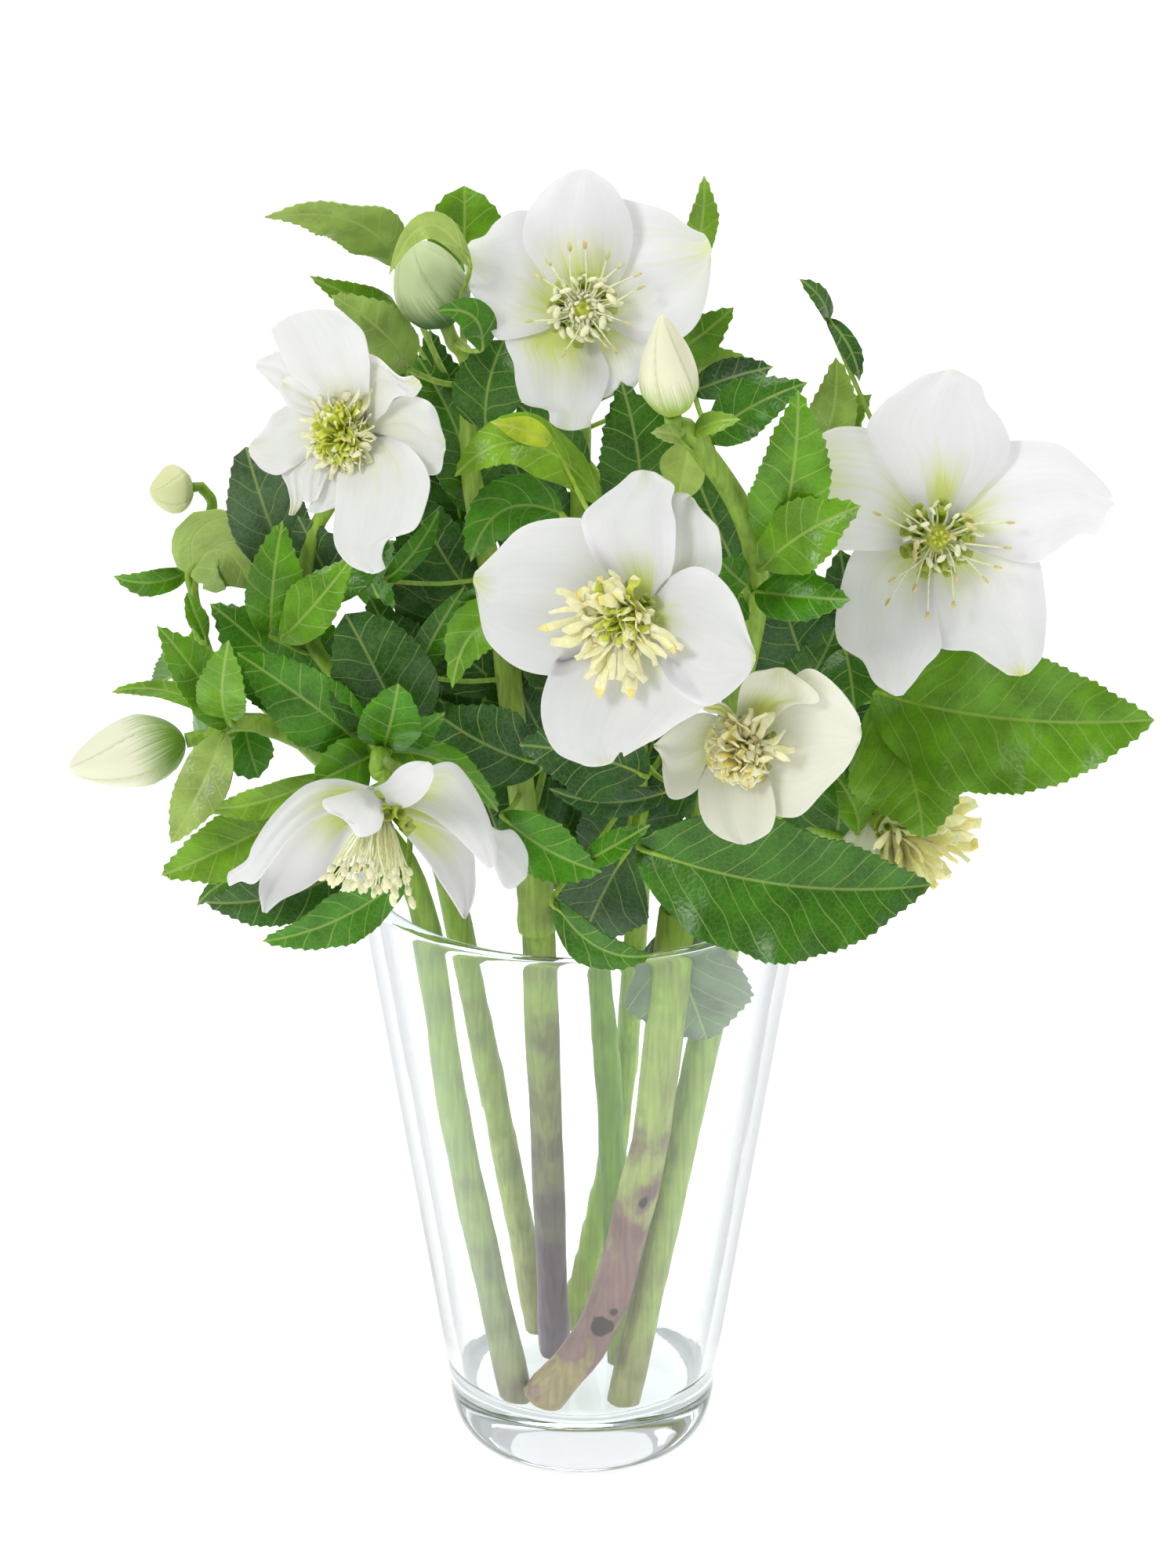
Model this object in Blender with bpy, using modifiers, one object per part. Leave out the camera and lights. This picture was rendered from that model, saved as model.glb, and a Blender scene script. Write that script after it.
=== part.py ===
"""Cut hellebore stems in flower, standing in a clear tapered glass vase.

Metres, +Z up. The origin is the middle of the vase's flat foot, on the surface that it stands on.
The bunch is seen from -Y. Leaves and blooms are placed in the picture plane of that view: a place is
given by its pixel in a 1500 x 2000 picture, and by how many millimetres it stands toward the viewer
from the vase's axis.
"""

import math

import bmesh
import bpy
from mathutils import Matrix, Vector
from mathutils.kdtree import KDTree

MM = 0.001
GAP = 0.3 * MM

# The view that the places are given in
VIEW_AIM = Vector((1.8, 0.0, 213.5)) * MM
VIEW_DISTANCE = 2070 * MM
VIEW_ELEVATION = math.radians(24.5)
VIEW_FOCAL_PIXELS = 9000
PICTURE_MIDDLE = (750, 1000)

# Vase
VASE_HEIGHT = 188 * MM
VASE_FOOT_RADIUS = 32 * MM
VASE_BASE_RADIUS = 40.3 * MM
VASE_BASE_HEIGHT = 18 * MM
VASE_RIM_RADIUS = 66.5 * MM
VASE_WALL = 3.8 * MM
VASE_FLOOR = 19 * MM
VASE_STEPS = 24

# Leaves and sepals
LEAF_THICKNESS = 0.7 * MM
SMALLEST_FOLDED = 13
STALK_WIDTH = 2.6 * MM
ROOT_DROP = 10 * MM
SEPAL_THICKNESS = 0.7 * MM
RECEPTACLE_RADIUS = 3.6 * MM
RECEPTACLE_HEIGHT = 2.4 * MM
SEPAL_ROOT = 2.2 * MM
DOME_RADIUS = 4.0 * MM
DOME_UNDERSIDE = 0.35
NECTARY_LENGTH = 3.2 * MM
NECTARY_WIDTH = 1.5 * MM
STAMEN_INSET = 0.42 * MM

# Teeth of a leaf: how far one leans to the tip, and the notch behind it to the foot, in rows
TOOTH_FORWARD = 0.35
NOTCH_BACKWARD = 0.15

# Buds: an egg with the edges of wrapped sepals winding up it
BUD_SIDES = 10
BUD_RINGS = 7
BUD_FOLDS = 5
BUD_TWIST = 0.6
BUD_WIDEST = 0.35
BUD_TAPER = 0.42
BUD_EDGE = 0.09

TO_VIEWER = Vector((0, -math.cos(VIEW_ELEVATION), math.sin(VIEW_ELEVATION)))


def seen(u, v, toward):
    """The place that shows at pixel (u, v), toward millimetres in front of the vase's axis."""
    eye = VIEW_AIM + TO_VIEWER * VIEW_DISTANCE
    up = Vector((0, math.sin(VIEW_ELEVATION), math.cos(VIEW_ELEVATION)))
    right = Vector((1, 0, 0))
    across = (u - PICTURE_MIDDLE[0]) / VIEW_FOCAL_PIXELS
    rise = (PICTURE_MIDDLE[1] - v) / VIEW_FOCAL_PIXELS
    ray = -TO_VIEWER + right * across + up * rise
    return eye + ray * ((-toward * MM - eye.y) / ray.y)


def place(x, y, z):
    """A place given in millimetres from the middle of the foot."""
    return Vector((x, y, z)) * MM


def hex_to_linear(text):
    channels = [int(text[i:i + 2], 16) / 255 for i in (0, 2, 4)]
    return [c / 12.92 if c <= 0.04045 else ((c + 0.055) / 1.055) ** 2.4 for c in channels] + [1.0]


def make_material(name, colour, roughness, transmission=0.0):
    material = bpy.data.materials.new(name)
    material.use_nodes = True
    shader = material.node_tree.nodes["Principled BSDF"]
    shader.inputs["Base Color"].default_value = hex_to_linear(colour)
    shader.inputs["Roughness"].default_value = roughness
    shader.inputs["Transmission Weight"].default_value = transmission
    return material


def new_object(name, mesh, collection, material=None):
    thing = bpy.data.objects.new(name, mesh)
    collection.objects.link(thing)
    if material:
        mesh.materials.append(material)
    return thing


def mesh_from(bm, name):
    mesh = bpy.data.meshes.new(name)
    bm.to_mesh(mesh)
    bm.free()
    return mesh


def evaluated_mesh(thing):
    """A mesh of the object as its modifiers leave it, in world space."""
    graph = bpy.context.evaluated_depsgraph_get()
    mesh = bpy.data.meshes.new_from_object(thing.evaluated_get(graph))
    mesh.transform(thing.matrix_world)
    return mesh


def smooth_path(points, per_span=3):
    """Places along a smooth curve through the given ones."""
    ends = [points[0] * 2 - points[1]] + list(points) + [points[-1] * 2 - points[-2]]
    path = []
    for i in range(1, len(ends) - 2):
        a, b, c, d = ends[i - 1:i + 3]
        for step in range(per_span):
            t = step / per_span
            path.append(0.5 * ((2 * b) + (c - a) * t + (2 * a - 5 * b + 4 * c - d) * t * t
                               + (3 * b - a - 3 * c + d) * t ** 3))
    return path + [points[-1]]


def tube_mesh(path, radii, resolution):
    """A round stalk along a path, with a radius at each of its points and welded caps."""
    curve = bpy.data.curves.new("stalk", "CURVE")
    curve.dimensions = "3D"
    curve.bevel_depth = 1.0
    curve.bevel_resolution = resolution
    curve.use_fill_caps = True
    spline = curve.splines.new("POLY")
    spline.points.add(len(path) - 1)
    for point, centre, radius in zip(spline.points, path, radii):
        point.co = (*centre, 1)
        point.radius = radius
    thing = bpy.data.objects.new("stalk", curve)
    bpy.context.scene.collection.objects.link(thing)
    mesh = evaluated_mesh(thing)
    bpy.data.objects.remove(thing)
    bm = bmesh.new()
    bm.from_mesh(mesh)
    bpy.data.meshes.remove(mesh)
    bmesh.ops.remove_doubles(bm, verts=bm.verts, dist=0.00001)
    bmesh.ops.triangulate(bm, faces=bm.faces)
    return mesh_from(bm, "stalk")


# Outlines: half the blade's width, as a share of its greatest, at a share s of its length
def leaf_outline(s):
    return 0.16 * (1 - s) + math.sin(math.pi * s ** 0.85) ** 0.9


def lance_outline(s):
    return 0.25 * (1 - s) + 0.9 * math.sin(math.pi * s ** 0.9) ** 0.8


def round_outline(s):
    return 0.3 * (1 - s) + 0.92 * math.sin(math.pi * s ** 1.1) ** 0.6


def sepal_outline(s):
    if s < 0.62:
        return 0.1 + 0.9 * math.sin(math.pi / 2 * s / 0.62) ** 0.95
    return math.sqrt(max(0.0, 1 - ((s - 0.62) / 0.38) ** 2.3))


def blade_mesh(centre, across, lift, outline, rows, columns, teeth, thickness, crowd=1.0):
    """A thin blade: a grid shaped by its centre line, its width and its rise, then given its thickness.

    centre(s), across(s) and lift(s, c) give the middle, the half width as a vector and the rise at a share
    s of the length and c across, from -1 to 1. teeth is the depth of the teeth, as a share of the width.
    """
    bm = bmesh.new()
    bmesh.ops.create_grid(bm, x_segments=columns, y_segments=rows, size=0.5)
    for vert in bm.verts:
        row = round((vert.co.y + 0.5) * rows)
        c = vert.co.x * 2
        s = 1 - (1 - row / rows) ** crowd
        reach = outline(s)
        if row == rows:
            reach = 0
        forward = 0
        if teeth and 1 < row < rows and abs(c) > 0.99:
            outer = row % 2 == 0
            reach *= 1 + teeth if outer else 1 - teeth
            forward = TOOTH_FORWARD / rows if outer else -NOTCH_BACKWARD / rows
        vert.co = centre(s + forward) + across(s) * c * reach + lift(s, c * reach)
    bmesh.ops.remove_doubles(bm, verts=bm.verts, dist=0.00005)
    bmesh.ops.triangulate(bm, faces=bm.faces)
    bmesh.ops.recalc_face_normals(bm, faces=bm.faces)
    return mesh_from(bm, "blade"), thickness


class Node:
    """One named piece of the bunch, made of parts that grow together and are joined in one body."""

    def __init__(self, name, material):
        self.name = name
        self.material = material
        self.body = None
        self.parts = bpy.data.collections.new(name + "_parts")
        bpy.context.scene.collection.children.link(self.parts)
        self.spots = []

    def add(self, mesh, thickness=0.0):
        """Adds a mesh, and gives it a wall where it is an open blade."""
        if thickness:
            blade = new_object("blade", mesh, self.parts)
            wall = blade.modifiers.new("thickness", "SOLIDIFY")
            wall.thickness = thickness
            wall.offset = 0
            wall.use_rim = True
        elif self.body is None:
            self.body = new_object(self.name, mesh, model, self.material)
        else:
            new_object("part", mesh, self.parts)

    def tube(self, points, radius, end_radius=None, resolution=2, per_span=2):
        end_radius = end_radius or radius
        path = smooth_path(points[:-1], per_span) + [points[-1]] if len(points) > 2 else list(points)
        last = len(path) - 1
        radii = [(radius + (end_radius - radius) * i / last) * MM for i in range(last + 1)]
        self.add(tube_mesh(path, radii, resolution))
        for a, b in zip(path, path[1:]):
            self.spots += [a.lerp(b, k / 5) for k in range(5)]

    def nearest(self, point):
        """The nearest place on the middle of the stalks so far."""
        tree = KDTree(len(self.spots))
        for i, spot in enumerate(self.spots):
            tree.insert(spot, i)
        tree.balance()
        return Vector(tree.find(point)[0])

    def stalk(self, points, radius, end_radius=None, resolution=1, per_span=2):
        """A side stalk that starts in the middle of the stalk nearest to it."""
        self.tube([self.nearest(points[0])] + list(points), radius, end_radius, resolution, per_span)

    def leaf(self, base, tip, toward, width, via=None, roll=0, arch=0.1, fold=12, rows=None,
             outline=leaf_outline, teeth=0.09, root=None):
        """A toothed blade from the pixel base to the pixel tip, turned to the viewer but for its roll."""
        start = seen(*base, toward[0])
        end = seen(*tip, toward[1])
        middle = seen(*via, (toward[0] + toward[1]) / 2) if via else start.lerp(end, 0.5)
        root = seen(*root) if root else start
        self.blade(start, middle, end, TO_VIEWER, width, roll, arch, fold, rows, outline, teeth, root)

    def back_leaf(self, start, end, width):
        """A leaf on the side away from the viewer, arching out and over from start to end."""
        start = place(*start)
        end = place(*end)
        self.blade(start, start.lerp(end, 0.5), end, Vector((0, 0.5, 1)), width, arch=0.14)

    def blade(self, start, middle, end, toward, width, roll=0, arch=0.1, fold=12, rows=None,
              outline=leaf_outline, teeth=0.09, root=None):
        """A blade through three places, facing toward, on a flat stalk from the stem nearest to root."""
        run = end - start
        way = run.normalized()
        rows = rows or (5 if width < 20 else 6)
        columns = 2 if width >= SMALLEST_FOLDED else 1
        face = Matrix.Rotation(math.radians(roll), 3, way) @ (toward - way * toward.dot(way)).normalized()
        control = (middle + face * (arch * run.length)) * 2 - (start + end) * 0.5
        half = width / 2 * MM
        rise = math.tan(math.radians(fold))
        root = self.nearest((root or start) - Vector((0, 0, ROOT_DROP)))
        stalk = 1 / (rows + 1)

        def centre(s):
            if s < stalk:
                return root.lerp(start, s / stalk)
            s = (s - stalk) / (1 - stalk)
            return start * (1 - s) ** 2 + control * 2 * s * (1 - s) + end * s * s

        def side(s):
            s = max(0, (s - stalk) / (1 - stalk))
            along = ((control - start) * (1 - s) + (end - control) * s).normalized()
            return along.cross(face).normalized() * half

        def lift(s, c):
            return face * (abs(c) * half * rise)

        def shape(s):
            stalk_share = STALK_WIDTH / 2 / half
            return stalk_share if s < stalk + 0.001 else max(stalk_share, outline((s - stalk) / (1 - stalk)))

        self.add(*blade_mesh(centre, side, lift, shape, rows + 1, columns, teeth, LEAF_THICKNESS))

    def join(self):
        """Joins the parts to the first of them, and removes them."""
        if len(self.parts.objects):
            union = self.body.modifiers.new("union", "BOOLEAN")
            union.operation = "UNION"
            union.operand_type = "COLLECTION"
            union.collection = self.parts
            union.solver = "MANIFOLD"
            bpy.context.view_layer.update()
            mesh = evaluated_mesh(self.body)
            self.body.modifiers.clear()
            self.body.data = mesh
        for part in list(self.parts.objects):
            bpy.data.objects.remove(part)
        bpy.data.collections.remove(self.parts)
        bm = bmesh.new()
        bm.from_mesh(self.body.data)
        bmesh.ops.triangulate(bm, faces=bm.faces)
        bm.to_mesh(self.body.data)
        bm.free()


def bloom(name, at, toward, yaw, pitch, sepals, heart):
    """An open bloom: its sepals on their receptacle, and its centre in front of them.

    It faces yaw degrees to the right of the front and pitch degrees up. Each sepal has a clock angle from
    the right, a length, a width, a rise at its root and at its tip, and the tilt of one edge over the next.
    """
    centre = seen(*at, toward)
    yaw = math.radians(yaw)
    pitch = math.radians(pitch)
    facing = Vector((math.sin(yaw) * math.cos(pitch), -math.cos(yaw) * math.cos(pitch), math.sin(pitch)))
    up = (Vector((0, 0, 1)) - facing * facing.z)
    if up.length < 0.2:
        up = Vector((0, 1, 0)) - facing * facing.y
    up.normalize()
    right = up.cross(facing)
    turn = Matrix((right, up, facing)).transposed()

    node = Node(name + "_sepals", SEPAL)
    disc = bmesh.new()
    bmesh.ops.create_cone(disc, cap_ends=True, segments=8, radius1=RECEPTACLE_RADIUS * 0.8,
                          radius2=RECEPTACLE_RADIUS, depth=RECEPTACLE_HEIGHT,
                          matrix=Matrix.Translation(centre) @ turn.to_4x4())
    bmesh.ops.triangulate(disc, faces=disc.faces)
    node.add(mesh_from(disc, "receptacle"))
    for clock, length, width, root_rise, tip_rise, tilt in sepals:
        add_sepal(node, centre, turn, clock, length, width, root_rise, tip_rise, tilt)
    node.join()

    middle = Node(name + "_stamens", STAMEN)
    seat = centre + facing * (RECEPTACLE_HEIGHT / 2 + GAP)
    heart(middle, seat, turn)
    middle.join()
    return centre - facing * (RECEPTACLE_HEIGHT / 2 + GAP), facing


def add_sepal(node, centre, turn, clock, length, width, root_rise, tip_rise, tilt):
    clock = math.radians(clock)
    outward = turn @ Vector((math.cos(clock), math.sin(clock), 0))
    sideways = turn @ Vector((-math.sin(clock), math.cos(clock), 0))
    facing = turn @ Vector((0, 0, 1))
    count = 24
    line = [centre + outward * SEPAL_ROOT]
    for i in range(count + 4):
        rise = math.radians(root_rise + (tip_rise - root_rise) * min(1, i / count))
        step = (length * MM - SEPAL_ROOT) / count
        line.append(line[-1] + (outward * math.cos(rise) + facing * math.sin(rise)) * step)
    half = width / 2 * MM
    lean = math.radians(tilt)
    edge = sideways * math.cos(lean) + facing * math.sin(lean)

    def spot(s):
        whole = min(count + 2, max(0, int(s * count)))
        return line[whole].lerp(line[whole + 1], s * count - whole)

    def side(s):
        return edge * half

    def lift(s, c):
        return facing * (half * 0.28 * c * c * math.sin(math.pi * min(1, s + 0.1)) ** 0.7)

    node.add(*blade_mesh(spot, side, lift, sepal_outline, 5 if length > 30 else 4, 2, 0, SEPAL_THICKNESS,
                         1.5))


def open_heart(length, low, stamen_width=1.3, lean=(0, 0), splay=1.0, lowest=22):
    """A bloom's centre: a low dome whose faces are drawn out, nectaries at its foot and stamens above.

    length is that of the upright stamens, low the rise in degrees under which a face is a nectary, lean
    the way that they all fall to, splay how much longer the outer ones are, and lowest the rise under
    which the dome stays plain.
    """

    def build(node, seat, turn):
        bm = bmesh.new()
        bmesh.ops.create_icosphere(bm, subdivisions=2, radius=DOME_RADIUS)
        bmesh.ops.rotate(bm, verts=bm.verts, cent=(0, 0, 0), matrix=Matrix.Rotation(0.4, 3, "Z"))
        for vert in bm.verts:
            if vert.co.z < 0:
                vert.co.z *= DOME_UNDERSIDE
        foot = min(vert.co.z for vert in bm.verts)
        rises = {face: math.degrees(math.asin(face.normal.z)) for face in bm.faces}
        chosen = [face for face, rise in rises.items() if rise > lowest]
        for k, face in enumerate(sorted(chosen, key=lambda f: f.calc_center_median().to_tuple(4))):
            rise = rises[face]
            nectary = rise < low
            middle = face.calc_center_median()
            way = (face.normal + Vector((lean[0], lean[1], 0))).normalized()
            if not nectary:
                bmesh.ops.inset_individual(bm, faces=[face], thickness=STAMEN_INSET)
            drawn = bmesh.ops.extrude_discrete_faces(bm, faces=[face])["faces"][0]
            outer = splay if rise < low + 22 else 1.0
            reach = NECTARY_LENGTH if nectary else length * MM * outer * (0.8 + 0.35 * ((k * 0.618) % 1.0))
            width = NECTARY_WIDTH if nectary else stamen_width * MM
            centre = drawn.calc_center_median()
            size = (drawn.verts[0].co - centre).length
            for vert in drawn.verts:
                vert.co = middle + way * reach + (vert.co - centre) * (width / 2 / size)
        bmesh.ops.translate(bm, verts=bm.verts, vec=(0, 0, -foot))
        bmesh.ops.transform(bm, verts=bm.verts, matrix=Matrix.Translation(seat) @ turn.to_4x4())
        bmesh.ops.triangulate(bm, faces=bm.faces)
        bmesh.ops.recalc_face_normals(bm, faces=bm.faces)
        node.add(mesh_from(bm, node.name))

    return build


def bud(name, base, tip, width):
    """A closed bud: an egg of wrapped sepals, each edge standing a little over the next."""
    node = Node(name, BUD)
    run = tip - base
    frame = run.to_track_quat("Z", "Y").to_matrix()
    bm = bmesh.new()
    bmesh.ops.create_uvsphere(bm, u_segments=BUD_SIDES, v_segments=BUD_RINGS, radius=1)
    for vert in bm.verts:
        height = (vert.co.z + 1) / 2
        angle = math.atan2(vert.co.y, vert.co.x)
        edge = (angle / (2 * math.pi) * BUD_FOLDS + height * BUD_TWIST) % 1.0
        share = math.hypot(vert.co.x, vert.co.y)
        narrow = 1 - BUD_TAPER * max(0.0, height - BUD_WIDEST) / (1 - BUD_WIDEST)
        radius = share * narrow * (1 - BUD_EDGE / 2 + BUD_EDGE * edge) * width / 2 * MM
        vert.co = base + frame @ Vector((radius * math.cos(angle), radius * math.sin(angle),
                                         height * run.length))
    bmesh.ops.triangulate(bm, faces=bm.faces)
    bmesh.ops.recalc_face_normals(bm, faces=bm.faces)
    node.add(mesh_from(bm, name))
    node.join()
    return base - run.normalized() * GAP, run.normalized()


def make_vase():
    """The vase as one turned body: inner floor, inner wall, lip, outer wall, rounded base and flat foot."""
    slope = (VASE_RIM_RADIUS - VASE_BASE_RADIUS) / (VASE_HEIGHT - VASE_BASE_HEIGHT)
    inner_base = VASE_BASE_RADIUS - VASE_WALL
    lip = VASE_WALL / 2
    lip_middle = VASE_RIM_RADIUS - lip
    profile = [(0, VASE_FLOOR), (inner_base - 4 * MM, VASE_FLOOR)]
    profile.append((inner_base - 1.2 * MM, VASE_FLOOR + 1.2 * MM))
    profile.append((inner_base + slope * 5 * MM, VASE_FLOOR + 5 * MM))
    profile.append((lip_middle - lip, VASE_HEIGHT - lip * 1.4))
    for degrees in (135, 90, 45):
        turn = math.radians(degrees)
        profile.append((lip_middle + lip * math.cos(turn), VASE_HEIGHT - lip + lip * math.sin(turn)))
    profile.append((VASE_RIM_RADIUS, VASE_HEIGHT - lip * 1.4))
    profile.append((VASE_BASE_RADIUS, VASE_BASE_HEIGHT))
    bulge = VASE_BASE_RADIUS - VASE_FOOT_RADIUS
    for degrees in (-25, -50, -72):
        turn = math.radians(degrees)
        profile.append((VASE_FOOT_RADIUS + bulge * math.cos(turn),
                        VASE_BASE_HEIGHT + VASE_BASE_HEIGHT * math.sin(turn)))
    profile += [(VASE_FOOT_RADIUS, 0), (0, 0)]
    bm = bmesh.new()
    verts = [bm.verts.new((x, 0, z)) for x, z in profile]
    for a, b in zip(verts, verts[1:]):
        bm.edges.new((a, b))
    vase = new_object("vase", mesh_from(bm, "vase"), model, GLASS)
    screw = vase.modifiers.new("turned", "SCREW")
    screw.steps = VASE_STEPS
    screw.render_steps = VASE_STEPS
    screw.use_merge_vertices = True
    screw.merge_threshold = 0.00005
    screw.use_smooth_shade = True


def make_far_left_stem():
    """Runs up the left of the vase to the whorl at the far left, and on to the two left buds."""
    stem = Node("far_left_stem", GREEN)
    base, way = bud("long_pale_bud", seen(236, 945, 44), seen(88, 980, 52), 22.5)
    small_base, small_way = bud("small_nodding_bud", seen(243, 622, 12), seen(192, 628, 18), 15)
    stem.tube([place(-19, -21.5, 20.2), place(-36, -22, 110), place(-47, -24, 186),
               seen(456, 1022, 34), seen(395, 950, 42), seen(330, 922, 46), seen(292, 920, 46)], 4.7, 2.8)
    stem.stalk([base - way * 7 * MM, base], 1.9, 2.3)
    stem.stalk([seen(270, 850, 40), seen(247, 760, 22), seen(252, 700, 14),
                small_base - small_way * 2 * MM + place(4, 0, -6), small_base - small_way * 3 * MM,
                small_base], 1.8, 1.5)
    stem.leaf((290, 925), (200, 798), (48, 58), 15, roll=20)
    stem.leaf((292, 922), (246, 800), (44, 44), 12, roll=-30)
    stem.leaf((290, 915), (292, 816), (56, 76), 14, roll=-10)
    stem.leaf((285, 915), (143, 883), (42, 30), 7, roll=40, outline=lance_outline)
    stem.leaf((285, 935), (218, 1076), (52, 66), 14, roll=10, teeth=0.04)
    stem.leaf((312, 930), (330, 992), (40, 40), 13, roll=-20)
    stem.leaf((262, 815), (238, 756), (36, 30), 6, roll=30, outline=lance_outline, teeth=0.14)
    stem.leaf((240, 732), (322, 752), (20, 24), 24, via=(285, 700), roll=15, outline=round_outline,
              teeth=0.03)
    stem.leaf((240, 728), (145, 735), (16, 20), 8.5, roll=-35)
    stem.leaf((300, 935), (262, 960), (30, -20), 20, roll=30)
    stem.leaf((440, 1110), (262, 1150), (44, 42), 16, roll=-20)
    stem.leaf((340, 1105), (252, 1155), (40, 36), 7, roll=30)
    stem.back_leaf((-97, 14, 236), (-128, 52, 222), 24)
    stem.join()


def make_left_stem():
    """Leans left behind the rim to a leafy whorl over the nodding bloom, and on to the upper left bloom."""
    stem = Node("left_stem", GREEN)
    nod, nod_way = bloom("nodding_bloom", (487, 1018), 75, -12, -44, (
        (4, 52, 30, -16, 104, 8), (-34, 50, 25, -4, 78, 8), (176, 52, 31, -8, 92, 8),
        (112, 30, 25, 8, 86, 8), (62, 31, 24, 0, 66, 8), (214, 42, 26, 5, 70, 8)),
        open_heart(15, 25))
    upper, upper_way = bloom("upper_left_bloom", (455, 556), 60, -32, 18, (
        (118, 44, 38, 30, 12, 10), (150, 40, 28, 15, -5, 10), (170, 30, 24, 35, 25, 10),
        (205, 34, 26, 20, 5, 10), (-58, 42, 34, 25, 12, 10), (0, 30, 32, 20, -5, 10),
        (238, 24, 16, 30, 45, 10)),
        open_heart(10, 25))
    stem.tube([place(-13.5, 24, 20.3), place(-26, 12, 100), place(-40, -2, 186),
               seen(534, 1045, 22), seen(490, 952, 48)], 4.6, 3.6)
    stem.stalk([seen(487, 985, 70) + place(0, 0, 6), nod - nod_way * 6 * MM, nod], 2.0, 2.0)
    stem.stalk([seen(440, 880, 48), seen(392, 800, 44), seen(400, 680, 34),
                upper - upper_way * 12 * MM, upper], 2.4, 2.1)
    stem.leaf((515, 935), (440, 783), (46, 52), 29, roll=10, outline=round_outline, teeth=0.03)
    stem.leaf((490, 950), (508, 872), (58, 72), 17, roll=5, outline=round_outline, teeth=0.04)
    stem.leaf((500, 950), (568, 908), (56, 62), 9, roll=30)
    stem.leaf((460, 948), (302, 832), (54, 58), 21, roll=-12, fold=16)
    stem.leaf((345, 810), (360, 664), (44, 40), 15, roll=15)
    stem.leaf((360, 815), (452, 708), (46, 50), 14, roll=-15)
    stem.leaf((372, 735), (313, 570), (30, 22), 22, roll=20, outline=round_outline, teeth=0.05)
    stem.leaf((420, 742), (380, 658), (30, 34), 16, roll=-15)
    stem.leaf((408, 770), (498, 684), (36, 26), 15, roll=-12)
    stem.leaf((470, 965), (398, 1000), (56, 68), 16, roll=-15)
    stem.leaf((410, 990), (262, 1032), (56, 62), 10, roll=-30)
    stem.leaf((360, 1045), (206, 1116), (50, 56), 17, roll=-10)
    stem.leaf((495, 958), (636, 1036), (54, 60), 12, via=(580, 968), roll=35)
    stem.leaf((520, 1112), (335, 1200), (52, 60), 15, roll=-30)
    stem.back_leaf((-58, 14, 262), (-84, 66, 262), 28)
    stem.back_leaf((-47, 14, 208), (-70, 68, 186), 28)
    stem.join()


def make_inner_left_stem():
    """Mauve at its foot, with a pale sheath at the rim, up to the half-open bud and the top left leaves."""
    stem = Node("inner_left_stem", GREEN)
    base, way = bud("half_open_bud", seen(568, 412, 20), seen(528, 312, 26), 22)
    stem.tube([place(-8.5, 9, 20.1), place(-11, -6, 110), place(-13, -20, 186)], 4.7, 5.0)
    stem.tube([place(-13, -20, 176), place(-14, -21, 196), place(-15.5, -21.5, 214)], 6.4, 5.0, 2, 2)
    stem.tube([place(-13, -20, 186), seen(665, 1010, 26), seen(640, 800, 18), seen(600, 600, 6),
               seen(598, 470, 12), base - way * 6 * MM, base], 4.4, 2.0)
    stem.leaf((505, 338), (338, 277), (-4, 22), 17, via=(438, 280), roll=-45, fold=6, root=(598, 500, 12))
    stem.leaf((588, 345), (592, 237), (-6, -8), 20, roll=5, outline=round_outline, teeth=0.06)
    stem.leaf((500, 385), (395, 352), (0, 20), 7.5, roll=-20, root=(598, 500, 12))
    stem.leaf((520, 470), (422, 376), (16, 36), 15, roll=15)
    stem.leaf((620, 545), (645, 430), (16, 14), 19, roll=-10)
    stem.leaf((600, 650), (532, 455), (-2, 8), 19, roll=12)
    stem.leaf((628, 790), (545, 672), (10, 4), 21, roll=12)
    stem.leaf((640, 880), (548, 812), (16, 8), 20, roll=-8)
    stem.leaf((532, 860), (592, 748), (38, 40), 9, roll=15, outline=lance_outline, teeth=0)
    stem.leaf((492, 740), (560, 650), (30, 26), 7, roll=10, outline=lance_outline, teeth=0)
    stem.leaf((690, 975), (545, 900), (44, 42), 22, roll=-10)
    stem.leaf((640, 1040), (768, 1112), (56, 66), 17, roll=20)
    stem.leaf((745, 1100), (830, 1052), (62, 70), 8.5, roll=-25)
    stem.back_leaf((-34, 8, 290), (-48, 66, 316), 26)
    stem.join()


def make_middle_stem():
    """Behind the others in the vase, to the bloom at the top."""
    stem = Node("middle_stem", GREEN)
    back, way = bloom("top_bloom", (743, 397), 30, 0, 26, (
        (90, 41, 37, 14, 2, 9), (18, 38, 40, 12, 4, 9), (-50, 37, 36, 14, 6, 9),
        (-108, 37, 36, 12, 4, 9), (160, 37, 38, 14, 6, 9)),
        open_heart(8, 25, splay=1.6))
    stem.tube([place(12, 4, 19.5), place(8, 7, 110), place(2, 14, 186), place(-1, 16, 250),
               seen(742, 520, 5), back - way * 12 * MM, back], 4.4, 2.2)
    stem.leaf((880, 345), (898, 224), (2, 6), 9, roll=25)
    stem.leaf((860, 450), (936, 392), (-2, 4), 11, roll=10)
    stem.leaf((870, 480), (968, 465), (-6, 2), 9, roll=-20)
    stem.leaf((815, 650), (792, 486), (36, 40), 22, roll=5)
    stem.leaf((752, 880), (668, 742), (18, 22), 24, roll=8)
    stem.leaf((745, 600), (658, 512), (14, 18), 14, roll=-15)
    stem.back_leaf((2, 26, 262), (8, 88, 258), 34)
    stem.back_leaf((0, 24, 322), (-14, 70, 344), 26)
    stem.back_leaf((-4, 24, 212), (-28, 78, 205), 28)
    stem.join()


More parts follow.
